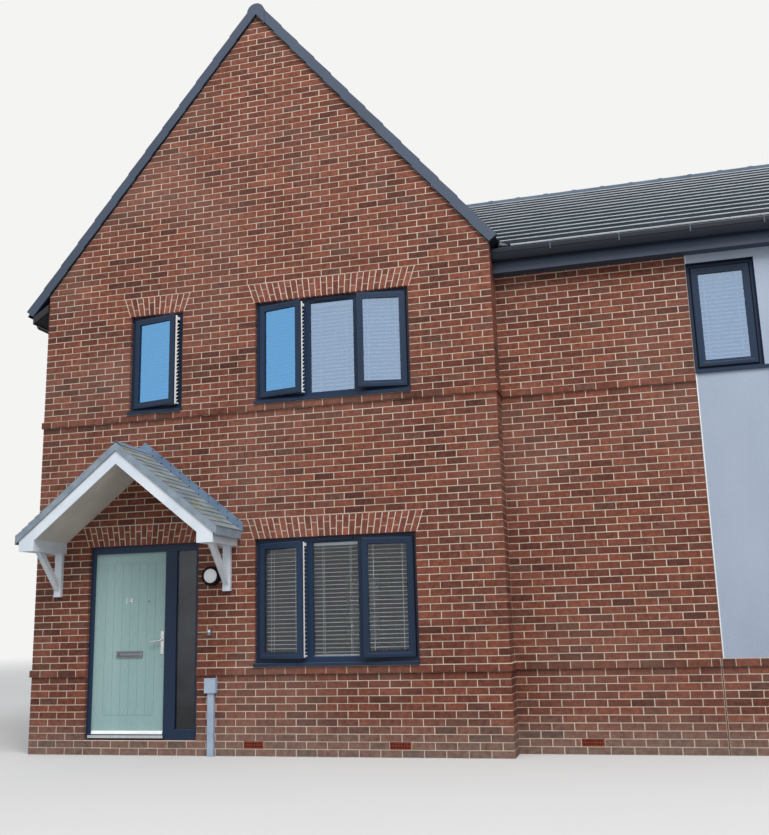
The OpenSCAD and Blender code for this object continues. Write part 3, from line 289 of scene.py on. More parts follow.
# glass-fibre door skin with pressed oak grain, matt sage enamel
doorSkin = mottled("grainedDoorSkin", "#88a6a5", "#9db9b8", 500, 4, 0.55, 0.0006, stretch=(1, 1, 0.06),
        grainShare=0.5)
brightMetal = mottled("polishedChrome", "#c4c6c8", "#dcdddd", 60, 3, 0.2, 0.00005, metallic=1.0)
whitePaint = mottled("satinPaint", "#cdd7e1", "#e2e8ee", 260, 14, 0.5, 0.0003)
creamPaint = mottled("oldCreamPaint", "#bcb9b0", "#d6d3c9", 380, 12, 0.65, 0.0004)
leadSheet = mottled("leadSheet", "#586d85", "#71869d", 240, 10, 0.55, 0.0012)
valleyTrough = mottled("glassFibreValley", "#2a313a", "#3b444e", 300, 9, 0.6, 0.0006)
clipPlastic = mottled("paleClipPvc", "#3d495b", "#546176", 60, 5, 0.7, 0.0003)
opalPlastic = mottled("opalPolycarbonate", "#e4e6e8", "#f4f5f6", 90, 5, 0.35, 0.0001)
whitePlastic = mottled("whitePvc", "#e2e4e4", "#f1f2f2", 200, 8, 0.4, 0.0002)
greyPlastic = mottled("greyPvc", "#90a2b8", "#a9bacd", 160, 6, 0.6, 0.0004)
jointMastic = mottled("brownMastic", "#4a312b", "#5c3e35", 80, 6, 0.75, 0.0006)
terracotta = mottled("terracotta", "#6f3024", "#87402f", 60, 4, 0.85, 0.0008, specular=0.25)
blackPlastic = mottled("blackPolycarbonate", "#060709", "#0e0f11", 120, 5, 0.55, 0.0002, specular=0.12)
slatPaint = mottled("stoveEnamelSlat", "#e6e6e3", "#f3f3f0", 150, 10, 0.45, 0.0001)
darkBronze = mottled("brushedSteel", "#6d7176", "#8e9297", 40, 2, 0.3, 0.0001, metallic=1.0, stretch=(0.1, 1, 1))
canopyTile = mossyTile("mossyTile", "#69737d", "#879099", "#7d8061", bare=0.545)
# tile edges of the canopy, darker on the faces turned down by painted shade
canopyEdge = mottled("tileEdge", "#77838f", "#929ea9", 110, 5, 0.9, 0.001, specular=0.2, paintedShadeDown="#596169")
print("house: materials")


def nodesWith(part):
    return [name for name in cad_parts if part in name]


nodeFinish = {
    mortar: nodesWith("_wall") + ["door_step"], archMortar: ["brick_arches"], renderCoat: ["render_panels"],
    roomConcrete: ["ground_floor"], roomTimber: ["upper_floor"],
    shadedTileBack: nodesWith("gable_roof") + nodesWith("wing_roof"),
    ridgeFace: ["ridge_tiles"], vergePlastic: ["verge_caps"], leadSheet: ["canopy_flashing"],
    valleyTrough: ["valley_linings"], fasciaBoard: ["eaves_boards"], gutterPlastic: ["gutters"],
    framePlastic: nodesWith("window_frames") + ["casements", "window_sills", "door_frame"],
    glassPane: ["window_glass"], sideGlass: ["sidelight_glass"], doorSkin: ["front_door"],
    whitePlastic: ["weather_bar"],
    brightMetal: ["threshold_bar", "frame_hinges", "leaf_hinges", "door_plate", "door_lever"],
    darkBronze: ["letter_plate", "doorbell"], whitePaint: ["bargeboards", "gallows_brackets"],
    creamPaint: ["canopy_soffit"], canopyEdge: ["canopy_roof"], blackPlastic: ["lamp_base"],
    opalPlastic: ["lamp_diffuser"], greyPlastic: ["service_box"], terracotta: ["air_bricks"],
}
for material, names in nodeFinish.items():
    for name in names:
        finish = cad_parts[name].data.materials
        finish.clear()
        finish.append(material)


def stacked(shapes):
    # several shapes of points and faces as one, each one's corners numbered on from the last
    starts = np.cumsum([0] + [len(points) for points, faces in shapes])
    return (np.concatenate([points for points, faces in shapes]),
            [[int(corner + start) for corner in face]
             for start, (points, faces) in zip(starts, shapes) for face in faces])


def makePiece(name, shapes, materials, slotName, body="house", finishOf=None, tone=None, smooth=False):
    # each shape is an array of places and a list of faces; finishOf is the material number of each face
    mesh = bpy.data.meshes.new(name)
    points, faces = stacked(shapes)
    mesh.from_pydata(points.tolist(), [], faces)
    for material in materials:
        mesh.materials.append(material)
    if finishOf is not None:
        mesh.polygons.foreach_set("material_index", np.asarray(finishOf, np.int32))
    if tone is not None:
        layer = mesh.attributes.new("tone", "FLOAT_COLOR", "POINT")
        layer.data.foreach_set("color", np.column_stack([tone, np.ones(len(tone))]).ravel())
    mesh.polygons.foreach_set("use_smooth", np.full(len(mesh.polygons), smooth))
    mesh.update()
    piece = inScene(name, mesh)
    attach(piece, body)
    return piece


def manyOf(faces, count, cornersEach):
    # the same small set of faces for every copy, each copy's corners numbered on from the last
    faces = np.asarray(faces)
    return (faces[None] + np.arange(count)[:, None, None] * cornersEach).reshape(-1, faces.shape[1])


def ringFaces(rings, corners, closed):
    # four-sided faces between each ring of corners and the next, and in a closed set from the last to the first
    ring, corner = np.meshgrid(np.arange(rings if closed else rings - 1), np.arange(corners), indexing="ij")
    here, there, after = ring * corners, (ring + 1) % rings * corners, (corner + 1) % corners
    return np.stack([here + corner, there + corner, there + after, here + after], -1).reshape(-1, 4)


def planeOf(foot, along, up=(0, 0, 1), **more):
    # a plane by its foot and its ways along and up; outwards is the cross product of the two
    along, up = np.array(along, float), np.array(up, float)
    return {"foot": np.array(foot, float), "along": along, "up": up, "out": np.cross(along, up), **more}


def onPlane(plane, u, v, depth):
    # place = foot + u along + v up + depth outwards
    parts = ((u, "along"), (v, "up"), (depth, "out"))
    return plane["foot"] + sum(np.asarray(measure)[..., None] * plane[way] for measure, way in parts)


def cutRow(span, ends, shift, piece, shortest, half, heights):
    # upright joints a piece's length apart, none nearer an end of the span than the shortest piece; then every
    # piece's four corners, anticlockwise from the lower left, half a joint in from each joint
    low, high = span
    cuts = shift + piece * np.arange(np.ceil((low.max() + shortest - shift) / piece),
            np.floor((high.min() - shortest - shift) / piece) + 1)
    lefts = np.vstack([ends[0], np.repeat(cuts[:, None] + half, 2, 1)])
    rights = np.vstack([np.repeat(cuts[:, None] - half, 2, 1), ends[1]])
    corners = np.empty((len(lefts), 4, 2))
    corners[..., 0] = np.column_stack([lefts[:, 0], rights, lefts[:, 1]])
    corners[:, :2, 1], corners[:, 2:, 1] = heights
    return corners


def layPieces(name, plane, flat, depth, faces, materials, slotName, finishOf=None):
    # bricks or tiles on a plane, their corners by u, v and depth, each with three chance shades of its own
    points = onPlane(plane, flat[..., 0], flat[..., 1], depth).reshape(-1, 3)
    tone = np.repeat(dice.random((len(flat), 3)), flat.shape[1], axis=0)
    makePiece(name, [(points, faces)], materials, slotName, finishOf=finishOf, tone=tone)


brickSet = {"stretcher": 0.225, "course": 0.075, "joint": 0.010, "proud": 0.004, "chamfer": 0.002, "inWall": 0.003,
        "reveal": 0.050, "shortest": 0.055, "wander": 0.0007, "stringOut": 0.018, "voussoir": 0.066,
        "archHigh": 0.225, "archFoot": 0.010, "archTop": 0.085, "strings": (11, 49), "stringHalf": 0.004,
        "stringBed": -0.0005, "least": 0.015, "leastSpan": 0.02, "near": 0.001, "cornerIn": 0.0003,
        "buttIn": 0.005, "rakeIn": 0.004}


def brickPiece(name, corners, out, back, wall, material):
    # each brick is three rings of its four corners: in the wall, just under the face, and a smaller one on the
    # face, so the arris is chamfered
    s = brickSet
    count = len(corners)
    corners = corners + dice.uniform(-s["wander"], s["wander"], corners.shape)
    inner = corners - np.sign(corners - corners.mean(axis=1, keepdims=True)) * s["chamfer"]
    face = out + dice.uniform(-s["wander"], s["wander"], count)
    flat = np.concatenate([corners, corners, inner], axis=1)
    depth = np.repeat(np.stack([-back, face - s["chamfer"], face], 1), 4, axis=1)
    box = [[8, 9, 10, 11], [4, 5, 9, 8], [5, 6, 10, 9], [6, 7, 11, 10], [7, 4, 8, 11],
           [0, 1, 5, 4], [1, 2, 6, 5], [2, 3, 7, 6], [3, 0, 4, 7], [3, 2, 1, 0]]
    layPieces(name, wall, flat, depth, manyOf(box, count, 12), [material], "brick")


def wallEdges(wall, z):
    # the wall's two ends at a height: upright, and above the eaves the lines of the roof, (apex - z) / slope
    half = (wall["apexZ"] - z) / wall["slope"] if "apexZ" in wall else np.full(2, np.inf)
    return np.maximum(wall["left"], -half), np.minimum(wall["right"], half)


def layWall(wall):
    # course by course: the free lengths between openings, upright joints every stretcher and set over by half in
    # turn, none nearer an end than the shortest bat; ends slope with the roof and with the arches
    s = brickSet
    laid = []
    for k in range(wall["courses"]):
        z = np.array([k, k + 1]) * s["course"]
        isString = k in s["strings"]
        out = s["stringOut"] + s["proud"] if isString else s["proud"]
        half, bed = (s["stringHalf"], s["stringBed"]) if isString else (s["joint"] / 2, s["joint"] / 2)
        margin = {"corner": s["cornerIn"] - out, "jamb": -s["proud"], "skew": s["joint"] / 2, "butt": s["buttIn"],
                "rake": s["rakeIn"]}
        left, right = wallEdges(wall, z)
        start, (startKind, lastKind) = left, wall["ends"]
        if left[1] > wall["left"] + s["near"]:
            startKind, lastKind = "rake", "rake"
        spans = []
        for hole in sorted(h for h in wall["holes"] if h[2] < z[1] - s["near"] and h[3] > z[0] + s["near"]):
            rise = (z - hole[2]) / s["archHigh"]
            spread = s["archFoot"] + (s["archTop"] - s["archFoot"]) * rise if hole[4] == "skew" else np.zeros(2)
            spans.append((start, hole[0] - spread, startKind, hole[4]))
            start, startKind = hole[1] + spread, hole[4]
        spans.append((start, right, startKind, lastKind))
        for low, high, lowKind, highKind in spans:
            if (high - low).min() < s["leastSpan"]:
                continue
            shift = wall["left"] + s["stretcher"] / 2 * ((k + wall["phase"]) % 2)
            rows = cutRow((low, high), (low + margin[lowKind], high - margin[highKind]), shift, s["stretcher"],
                    s["shortest"], half, (z[0] + bed, z[1] - s["joint"] / 2))
            back = np.full(len(rows), s["inWall"])
            back[0] = s["reveal"] if lowKind == "jamb" else back[0]
            back[-1] = s["reveal"] if highKind == "jamb" else back[-1]
            wide = (rows[:, 1:3, 0] - rows[:, [0, 3], 0]).max(axis=1) > s["least"]
            laid.append((rows[wide], np.full(wide.sum(), out), back[wide]))
    return [np.concatenate(each) for each in zip(*laid)]


def layArch(left, wide, foot):
    # bricks on end fanned between the skewbacks: joint i runs from foot(i) to top(i), both evenly spaced, and
    # each brick is cut across at a third or two thirds of its height in turn, a third in the middle one
    s = brickSet
    footWide, topWide = wide + 2 * s["archFoot"], wide + 2 * s["archTop"]
    count = 2 * round((footWide / s["voussoir"] - 1) / 2) + 1
    number = np.arange(count)
    share = np.where((number + (count - 1) // 2) % 2 == 0, 1 / 3, 2 / 3)
    half = s["joint"] * 0.6
    gap = half / s["archHigh"]
    along = (number[:, None] + [0, 1, 1, 0]) / count
    bricks = []
    for low, high in ((np.full(count, -s["proud"] / s["archHigh"]), share - gap),
            (share + gap, np.full(count, 1 - gap))):
        t = np.stack([low, low, high, high], 1)
        u = left + (footWide * along - s["archFoot"]) * (1 - t) + (topWide * along - s["archTop"]) * t
        bricks.append(np.stack([u + half * np.array([1, -1, -1, 1]), foot + t * s["archHigh"]], 2))
    return np.concatenate(bricks)


frontY, wingFrontY = -4.3875, -4.0495
leftX, rightX, panelX, panelEnd, wingX = -2.7, 2.7, 4.725, 7.425, 9.45
sillZ, headZ, upperSill, upperHead = 0.9, 2.25, 3.75, 4.95
gableLine, wingLine = {"apexZ": 8.640, "slope": 1.2259}, {"apexZ": 7.643, "slope": 0.5732}
# window: left edge along the wall, width, foot, height, lights, sashes stand open, slats' tilt
tall, short = (sillZ, headZ - sillZ), (upperSill, upperHead - upperSill)
sideWindows = [(-0.3375, 0.675, *tall, 1, False, -74), (-0.3375, 0.675, *short, 1, False, -60)]
windowWalls = {
    "brickFrontGable": [(-0.015, 1.8, *tall, 3, True, -5), (-0.015, 1.8, *short, 3, True, -38),
            (-1.59, 0.675, *short, 1, True, -38)],
    "brickWingFront": [(4.725, 0.675, *short, 1, False, -38), (6.75, 0.675, *short, 1, False, -38)],
    "brickRearGable": [(-1.785, 1.8, *tall, 3, False, -74), (0.915, 0.675, *tall, 1, False, -74),
            (-1.785, 1.8, *short, 3, False, -60), (0.915, 0.675, *short, 1, False, -60)],
    "brickWingRear": [(-5.4, 0.675, *short, 1, False, -60), (-7.425, 0.675, *short, 1, False, -60)],
    "brickLeftSide": sideWindows, "brickWingEnd": sideWindows,
}
door = (-2.025, 1.35, 0.15, headZ - 0.15)
archedOpenings = {"brickFrontGable": [door] + windowWalls["brickFrontGable"],
        "brickRearGable": windowWalls["brickRearGable"]}


def holesOf(openings, arched):
    # what an opening takes out of the courses: itself, and the arch over it with its splayed ends
    holes = [(left, left + wide, foot, foot + high, "jamb") for left, wide, foot, high, *rest in openings]
    skews = [(left, right, head, head + brickSet["archHigh"], "skew") for left, right, foot, head, kind in holes]
    return holes + skews if arched else holes


def airBrick(x):
    return (x, x + 0.225, 0.075, 0.15, "butt")


def wallOf(foot, along, edges, courses, ends=("corner", "corner"), phase=0, holes=(), **roofLine):
    # a wall as a plane with its ends, courses, bond and holes
    return planeOf(foot, along, left=edges[0], right=edges[1], courses=courses, ends=ends, phase=phase, holes=holes,
            **roofLine)


gableHoles = {name: holesOf(openings, True) for name, openings in archedOpenings.items()}
sideHoles = holesOf(sideWindows, False)
wallSet = {
    "brickFrontGable": wallOf((0, frontY, 0), (1, 0, 0), (leftX, rightX), 115, **gableLine,
            holes=[*gableHoles["brickFrontGable"], airBrick(-0.135), airBrick(1.445)]),
    "brickFrontReturn": wallOf((rightX, 0, 0), (0, 1, 0), (frontY, wingFrontY), 71, ("corner", "butt"), 1),
    "brickWingFront": wallOf((0, wingFrontY, 0), (1, 0, 0), (rightX, wingX), 68, ("butt", "corner"),
            holes=[(panelX, panelEnd, sillZ, 9.0, "butt"), (4.700, 4.710, 0.0, sillZ, "butt"),
                   airBrick(3.32)]),
    "brickLeftSide": wallOf((leftX, 0, 0), (0, -1, 0), (frontY, -frontY), 69, phase=1, holes=sideHoles),
    "brickWingEnd": wallOf((wingX, 0, 0), (0, 1, 0), (wingFrontY, -wingFrontY), 102, phase=1, holes=sideHoles,
            **wingLine),
    "brickRearGable": wallOf((0, -frontY, 0), (-1, 0, 0), (leftX, rightX), 115, **gableLine,
            holes=gableHoles["brickRearGable"]),
    "brickRearReturn": wallOf((rightX, 0, 0), (0, 1, 0), (-wingFrontY, -frontY), 71, ("butt", "corner"), 1),
    "brickWingRear": wallOf((0, -wingFrontY, 0), (-1, 0, 0), (-wingX, -rightX), 68, ("corner", "butt"),
            holes=[(-panelEnd, -panelX, sillZ, 9.0, "butt")]),
}
for name, wall in wallSet.items():
    brickPiece(name, *layWall(wall), wall, brickFace)

for name, openings in archedOpenings.items():
    heads = sorted(((foot + high, wide, left) for left, wide, foot, high, *rest in openings), reverse=True)
    fan = np.concatenate([layArch(left, wide, head) for head, wide, left in heads])
    brickPiece(name.replace("Gable", "Arches"), fan, np.full(len(fan), brickSet["proud"]),
            np.full(len(fan), brickSet["reveal"]), wallSet[name], archFace)
print("house: brickwork laid")


tileSet = {"wide": 0.300, "gap": 0.003, "noseHigh": 0.0145, "headHigh": 0.003, "arris": 0.003, "lapOver": 0.025,
        "inSlab": 0.002, "wander": 0.0008, "overEaves": 0.046, "shortest": 0.06, "leastSpan": 0.02,
        "leastRow": 0.04}


def tilePiece(name, corners, slope, materials, slotName, s):
    # each tile is a wedge on its four corners, thick at the nose and thin under the course above
    count = len(corners)
    nose, head = corners[:, :2], corners[:, [3, 2]]
    rise = head - nose
    arris = nose + rise * (s["arris"] / rise[..., 1:])
    flat = np.concatenate([nose, nose, arris, head, head], axis=1)
    lift = dice.uniform(-s["wander"], s["wander"], (count, 1))
    heights = np.array([-s["inSlab"], s["noseHigh"] - s["arris"], s["noseHigh"], s["headHigh"], -s["inSlab"]])
    height = np.repeat(heights + lift * np.array([0, 1, 1, 0.4, 0]), 2, axis=1)
    # rings of left and right corners: nose foot 0 1, nose top 2 3, arris 4 5, head 6 7, head foot 8 9
    strips = [[0, 1, 3, 2], [2, 3, 5, 4], [4, 5, 7, 6], [6, 7, 9, 8], [8, 9, 1, 0]]
    ends = [[0, 2, 4, 6, 8], [1, 9, 7, 5, 3]]
    faces = manyOf(strips, count, 10).tolist() + manyOf(ends, count, 10).tolist()
    # the nose's front and top take the second material and the rest the first; on the main roofs these are the lit
    # and shaded copies
    finishOf = np.concatenate([np.tile([1, 1, 0, 0, 0], count), np.zeros(2 * count)])
    layPieces(name, slope, flat, height, faces, materials, slotName, finishOf)


def layTiles(slope, s):
    # rows up the slope a gauge apart, side joints set over by half a tile in turn; each row ends at the innermost of
    # the slope's edge lines, which may run along a valley: edge(v) = start + lean * v
    rows = []
    for k in range(int(np.ceil(slope["length"] / slope["gauge"]))):
        noseAt = k * slope["gauge"] - (s["overEaves"] if k == 0 else 0)
        headAt = min((k + 1) * slope["gauge"] + s["lapOver"], slope["length"])
        v = np.array([noseAt, headAt])
        low = np.max([start + lean * v for start, lean in slope["lefts"]], axis=0)
        high = np.min([start + lean * v for start, lean in slope["rights"]], axis=0)
        if (high - low).min() < s["leastSpan"] or headAt - noseAt < s["leastRow"]:
            continue
        shift = slope["shift"] + s["wide"] / 2 * (k % 2)
        rows.append(cutRow((low, high), (low, high), shift, s["wide"], s["shortest"], s["gap"] / 2, v))
    return np.concatenate(rows)


gableTurn, wingTurn = np.arctan(gableLine["slope"]), np.arctan(wingLine["slope"])
cg, sg, cw, sw = np.cos(gableTurn), np.sin(gableTurn), np.cos(wingTurn), np.sin(wingTurn)
wingEavesY, valleyFoot, valleyHead = 4.2395, 2.8306, 0.8484
leftFoot, rightFoot = (-2.983, 0, 5.143), (2.781, 0, 5.391)
wingLength, leftLength, rightLength = wingEavesY / cw, -leftFoot[0] / cg, rightFoot[0] / cg
# the valley in each slope's own measure, with the trough kept clear on both sides
trough, underCap = 0.075, 0.015
wingLean = (valleyHead - valleyFoot) / wingLength
rightLean = wingEavesY / ((valleyFoot - valleyHead) / cg)
vergeIn = frontY + 0.025
wingTiles = {"length": wingLength - 0.05, "gauge": wingLength / 14.5}
rightTiles = {"length": rightLength - 0.07, "gauge": rightLength / 13.5, "shift": 0.11}
rightValley = (wingEavesY + 0.06, -rightLean)
slopeSet = {
    "tilesWingFront": planeOf((0, -wingEavesY, 5.330), (1, 0, 0), (0, cw, sw),
            lefts=[(valleyFoot + trough, wingLean)], rights=[(wingX - underCap, 0)], shift=0.09,
            **wingTiles),
    "tilesWingRear": planeOf((0, wingEavesY, 5.330), (-1, 0, 0), (0, -cw, sw), lefts=[(underCap - wingX, 0)],
            rights=[(-valleyFoot - trough, -wingLean)], shift=0.04, **wingTiles),
    "tilesLeft": planeOf(leftFoot, (0, -1, 0), (cg, 0, sg), lefts=[(vergeIn, 0)], rights=[(-vergeIn, 0)],
            length=leftLength - 0.07, gauge=leftLength / 13.5, shift=0.05),
    # right slope of the gable: a front part and a rear part, each up to its own valley
    "tilesRightFront": planeOf(rightFoot, (0, 1, 0), (-cg, 0, sg), lefts=[(vergeIn, 0)],
            rights=[(-0.002, 0), (-rightValley[0], -rightValley[1])], **rightTiles),
    "tilesRightRear": planeOf(rightFoot, (0, 1, 0), (-cg, 0, sg), lefts=[(0.002, 0), rightValley],
            rights=[(-vergeIn, 0)], **rightTiles),
}
for name, slope in slopeSet.items():
    tilePiece(name, layTiles(slope, tileSet), slope, [shadedTileBack, litTileNose], "roof_tile", tileSet)
print("house: roof tiled")


windowSet = {"edgeGap": 0.005, "sill": 0.035, "reveal": 0.045, "frameFace": 0.058, "mullion": 0.074, "lap": 0.014,
        "ajar": 12.0}


def lightsOf(s):
    # every light as a plane: its foot corner, its ways along and out, its size, and whether a sash fills it. A sash
    # that stands open is turned about its outer edge by the angle: along * cos + out * sin
    lights = []
    for wallName, windows in windowWalls.items():
        wall = wallSet[wallName]
        for left, wide, foot, high, count, isOpen, tilt in windows:
            frameWide, frameHigh = wide - 2 * s["edgeGap"], high - s["sill"] - s["edgeGap"]
            lightWide = (frameWide - 2 * s["frameFace"] - (count - 1) * s["mullion"]) / count
            for i in range(count):
                place = onPlane(wall, left + s["edgeGap"] + s["frameFace"] + i * (lightWide + s["mullion"]),
                        foot + s["sill"] + s["frameFace"], -s["reveal"])
                isSash = i != 1
                turn = np.radians(s["ajar"]) * (1 if i == 0 else -1) if isOpen and isSash else 0.0
                edge = -s["lap"] if i == 0 else lightWide + s["lap"]
                along = wall["along"] * np.cos(turn) + wall["out"] * np.sin(turn)
                lights.append(planeOf(place + (wall["along"] - along) * edge, along, wide=lightWide,
                        high=frameHigh - 2 * s["frameFace"], isSash=isSash, turn=turn, tilt=tilt))
    return lights


def mitredRing(plane, left, foot, wide, high, section):
    # a section of (inset, depth) in millimetres round a rectangle: each mitre is the corner moved in both ways
    inset, depth = np.array(section).T / 1000
    u = np.stack([left + inset, left + wide - inset, left + wide - inset, left + inset])
    v = np.stack([foot + inset, foot + inset, foot + high - inset, foot + high - inset])
    points = onPlane(plane, u, v, np.tile(depth, (4, 1))).reshape(-1, 3)
    return points, ringFaces(4, len(section), True)


def ringsRound(lights, grown, section):
    # the same section round the edge of several lights, each made larger on all sides
    return [mitredRing(q, -grown, -grown, q["wide"] + 2 * grown, q["high"] + 2 * grown, section) for q in lights]


def prism(plane, low, high):
    # a square bar between two corners given as (u, v, depth)
    low, high = np.array(low), np.array(high)
    pick = np.array([[0, 0, 1], [1, 0, 1], [1, 1, 1], [0, 1, 1], [0, 0, 0], [1, 0, 0], [1, 1, 0], [0, 1, 0]])
    faces = np.array([[0, 1, 2, 3], [1, 5, 6, 2], [5, 4, 7, 6], [4, 0, 3, 7], [3, 2, 6, 7], [4, 5, 1, 0]])
    return onPlane(plane, *(low + pick * (high - low)).T), faces


# sash cover: chamfered outer edge, sloped bead down to the glass; fixed lights have the bead alone
sashSection = [(-1.2, 1), (-1.2, 8), (10, 19.2), (38, 19.2), (44, 16.5), (66, 1.5), (66, 0.5)]
beadSection = [(-6, -19.5), (-6, 0.8), (-2, 0.6), (0.5, -2), (5.5, -15), (6.5, -19.5)]
# black seals: one on the glass, and one behind the cover's edge; round a shut sash that one is drawn wide as painted
# shade of the gap there, and it is narrower where the sash stands open
sealSection = [(64, 0.2), (64, 2.2), (69, 1.2), (69, 0.2)]
gasketShadeSection = [(-15, -0.4), (-15, 2.2), (-1.4, 4.2), (-1.4, -0.4)]
openSection = [(-5, -0.4), (-5, 2.2), (-1.4, 4.2), (-1.4, -0.4)]
# the foil covers the outside only: the profile's own white shows on the sides of a sash that stands open
sideSection = [(-6, -47.5), (-6, -30), (4, -22), (4, -3), (6.4, -3), (6.4, -47.5)]
lap = windowSet["lap"]
allLights = lightsOf(windowSet)
sashes = [q for q in allLights if q["isSash"]]
fixedLights = [q for q in allLights if not q["isSash"]]
openSashes = [q for q in allLights if q["turn"]]
makePiece("sashCovers", ringsRound(sashes, lap, sashSection) + ringsRound(fixedLights, 0, beadSection),
        [framePlastic], "frame_plastic")
makePiece("sashSides", ringsRound(openSashes, 0, sideSection), [whitePlastic], "white_plastic")

# trickle ventilators over the middle lights: a hooded frame clipped round a long slot
hoodSection = [(-1, -0.5), (-1, 4.5), (2.5, 7.5), (8.5, 7.5), (10, 2), (10, -0.5)]
slotSection = [(0, -0.4), (0, 1.5), (10.8, 2.2), (10.8, -0.4)]
for name, inset, rise, high, section, material, slotName in (
        ("ventHoods", 0.054, 0.008, 0.040, hoodSection, framePlastic, "frame_plastic"),
        ("ventSlots", 0.063, 0.017, 0.022, slotSection, blackPlastic, "black_plastic")):
    vents = [mitredRing(q, inset, q["high"] + rise, q["wide"] - 2 * inset, high, section) for q in fixedLights]
    makePiece(name, vents, [material], slotName)

# dark trims line the openings of the wing's windows, from the frame out to the face of the wall
trimSection = [(-1, -46), (-1, 5.2), (4.5, 5.2), (5.5, 3), (5.5, -46)]
overSill = 0.028
trims = [mitredRing(wallSet[wallName], left, foot + overSill, wide, high - overSill, trimSection)
        for wallName in ("brickWingFront", "brickWingRear")
        for left, wide, foot, high, *rest in windowWalls[wallName]]
makePiece("windowTrims", trims, [framePlastic], "frame_plastic")

sealsAndShade = [ring for q in sashes for section in (sealSection, openSection if q["turn"] else gasketShadeSection)
        for ring in ringsRound([q], lap, section)]
# a black upright strip beside the hinged edge of each open sash: painted shade of the gap there
shadeStripWide, shadeStripGap = 0.015, 0.001
for q in openSashes:
    edge = -lap - shadeStripGap - shadeStripWide if q["turn"] > 0 else q["wide"] + lap + shadeStripGap
    sealsAndShade.append(prism(q, (edge, -lap, 0.0002), (edge + shadeStripWide, q["high"] + lap, 0.0035)))
makePiece("glazingSealsAndShade", sealsAndShade, [blackPlastic], "black_plastic")

# rails and cords lie between these distances: from the light's foot, or from its head where they are negative
blindSet = {"slatDeep": 0.050, "pitch": 0.0435, "camber": 0.0025, "thick": 0.0028, "behindSash": 0.078,
        "behindFixed": 0.074, "clear": 0.002, "lowest": 0.045, "highest": 0.06, "wander": 0.0008,
        "rails": ((-0.036, -0.004), (0.004, 0.018)), "railEnd": 0.001, "railHalf": 0.024,
        "cords": (0.012, -0.02), "cordAt": (0.2, 0.8), "cordSides": (-0.028, 0.0262), "cordWide": 0.003,
        "cordThick": 0.0012}


def slatRows(light, middle, s):
    # slats at an even pitch: an arc, camber * (1 - (2a)^2) over the chord a, turned by the tilt
    a = np.array([-0.5, 0.0, 0.5, 0.5, 0.0, -0.5])
    rise = s["camber"] * (1 - (2 * a) ** 2) - np.array([0, 0, 0, 1, 1, 1]) * s["thick"]
    tilt = np.radians(light["tilt"])
    out = a * s["slatDeep"] * np.cos(tilt) - rise * np.sin(tilt)
    up = a * s["slatDeep"] * np.sin(tilt) + rise * np.cos(tilt)
    level = np.arange(s["lowest"], light["high"] - s["highest"], s["pitch"])
    level = level + dice.uniform(-s["wander"], s["wander"], len(level))
    u = np.tile(np.repeat([s["clear"], light["wide"] - s["clear"]], 6), (len(level), 1))
    v = level[:, None] + np.tile(up, 2)
    points = onPlane(light, u, v, middle + np.tile(np.tile(out, 2), (len(level), 1))).reshape(-1, 3)
    sides = [[i, (i + 1) % 6, (i + 1) % 6 + 6, i + 6] for i in range(6)]
    ends = [[2, 1, 0, 5], [5, 4, 3, 2], [6, 7, 8, 11], [8, 9, 10, 11]]
    return points, manyOf(sides + ends, len(level), 12)


def blindRails(light, middle, s):
    # head rail, foot rail, and a cord before and behind the slats at two places
    wide, near = light["wide"], s["railEnd"]
    level = lambda z: z + light["high"] if z < 0 else z
    rails = [prism(light, (near, level(low), middle - s["railHalf"]),
            (wide - near, level(top), middle + s["railHalf"])) for low, top in s["rails"]]
    foot, head = (level(z) for z in s["cords"])
    cords = [prism(light, (wide * share, foot, middle + side),
                  (wide * share + s["cordWide"], head, middle + side + s["cordThick"]))
            for share in s["cordAt"] for side in s["cordSides"]]
    return rails + cords


slats, rails = [], []
for q in allLights:
    middle = -(blindSet["behindSash"] if q["isSash"] else blindSet["behindFixed"])
    slats.append(slatRows(q, middle, blindSet))
    rails += blindRails(q, middle, blindSet)
makePiece("blindSlats", slats, [slatPaint], "white_plastic")
makePiece("blindRails", rails, [slatPaint], "white_plastic")
print("house: windows dressed,", len(allLights), "lights")


canopySet = {"middle": -1.36, "half": 1.188, "footZ": 2.3442, "ridgeZ": 3.3062, "pitch": 39.0, "out": 0.652,
        "gauge": 0.1, "wallGap": 0.007, "nailStep": 0.15, "saddleWide": 0.062, "sheet": 0.003,
        "saddleUp": 0.018, "flashUp": 0.110, "flashOut": 0.017}
smallTile = {**tileSet, "wide": 0.165, "gap": 0.004, "noseHigh": 0.011, "headHigh": 0.002, "lapOver": 0.012,
        "wander": 0.0015, "overEaves": 0.0}
slant = np.radians(canopySet["pitch"])
cc, sc = np.cos(slant), np.sin(slant)
canopyX, canopyHalf, canopyFront = canopySet["middle"], canopySet["half"], frontY - canopySet["out"]
wallSide = frontY - canopySet["wallGap"]
for name, side in (("canopyTilesRight", 1), ("canopyTilesLeft", -1)):
    start, end = sorted((side * (canopyFront + 0.002), side * wallSide))
    slope = planeOf((canopyX + side * canopyHalf, 0, canopySet["footZ"]), (0, side, 0), (-side * cc, 0, sc),
            lefts=[(start, 0)], rights=[(end, 0)], length=canopyHalf / cc - 0.01, gauge=canopySet["gauge"],
            shift=start)
    tilePiece(name, layTiles(slope, smallTile), slope, [canopyTile, canopyTile], "canopy_tile", smallTile)


def extruded(section, start, end):
    # a closed section of places, anticlockwise seen from its end, carried straight from start to end
    section = np.array(section, float)
    n = len(section)
    walls = ringFaces(2, n, False)[:, [0, 3, 2, 1]]
    return (np.concatenate([section + start, section + end]),
            walls.tolist() + [list(range(n - 1, -1, -1)), list(range(n, 2 * n))])


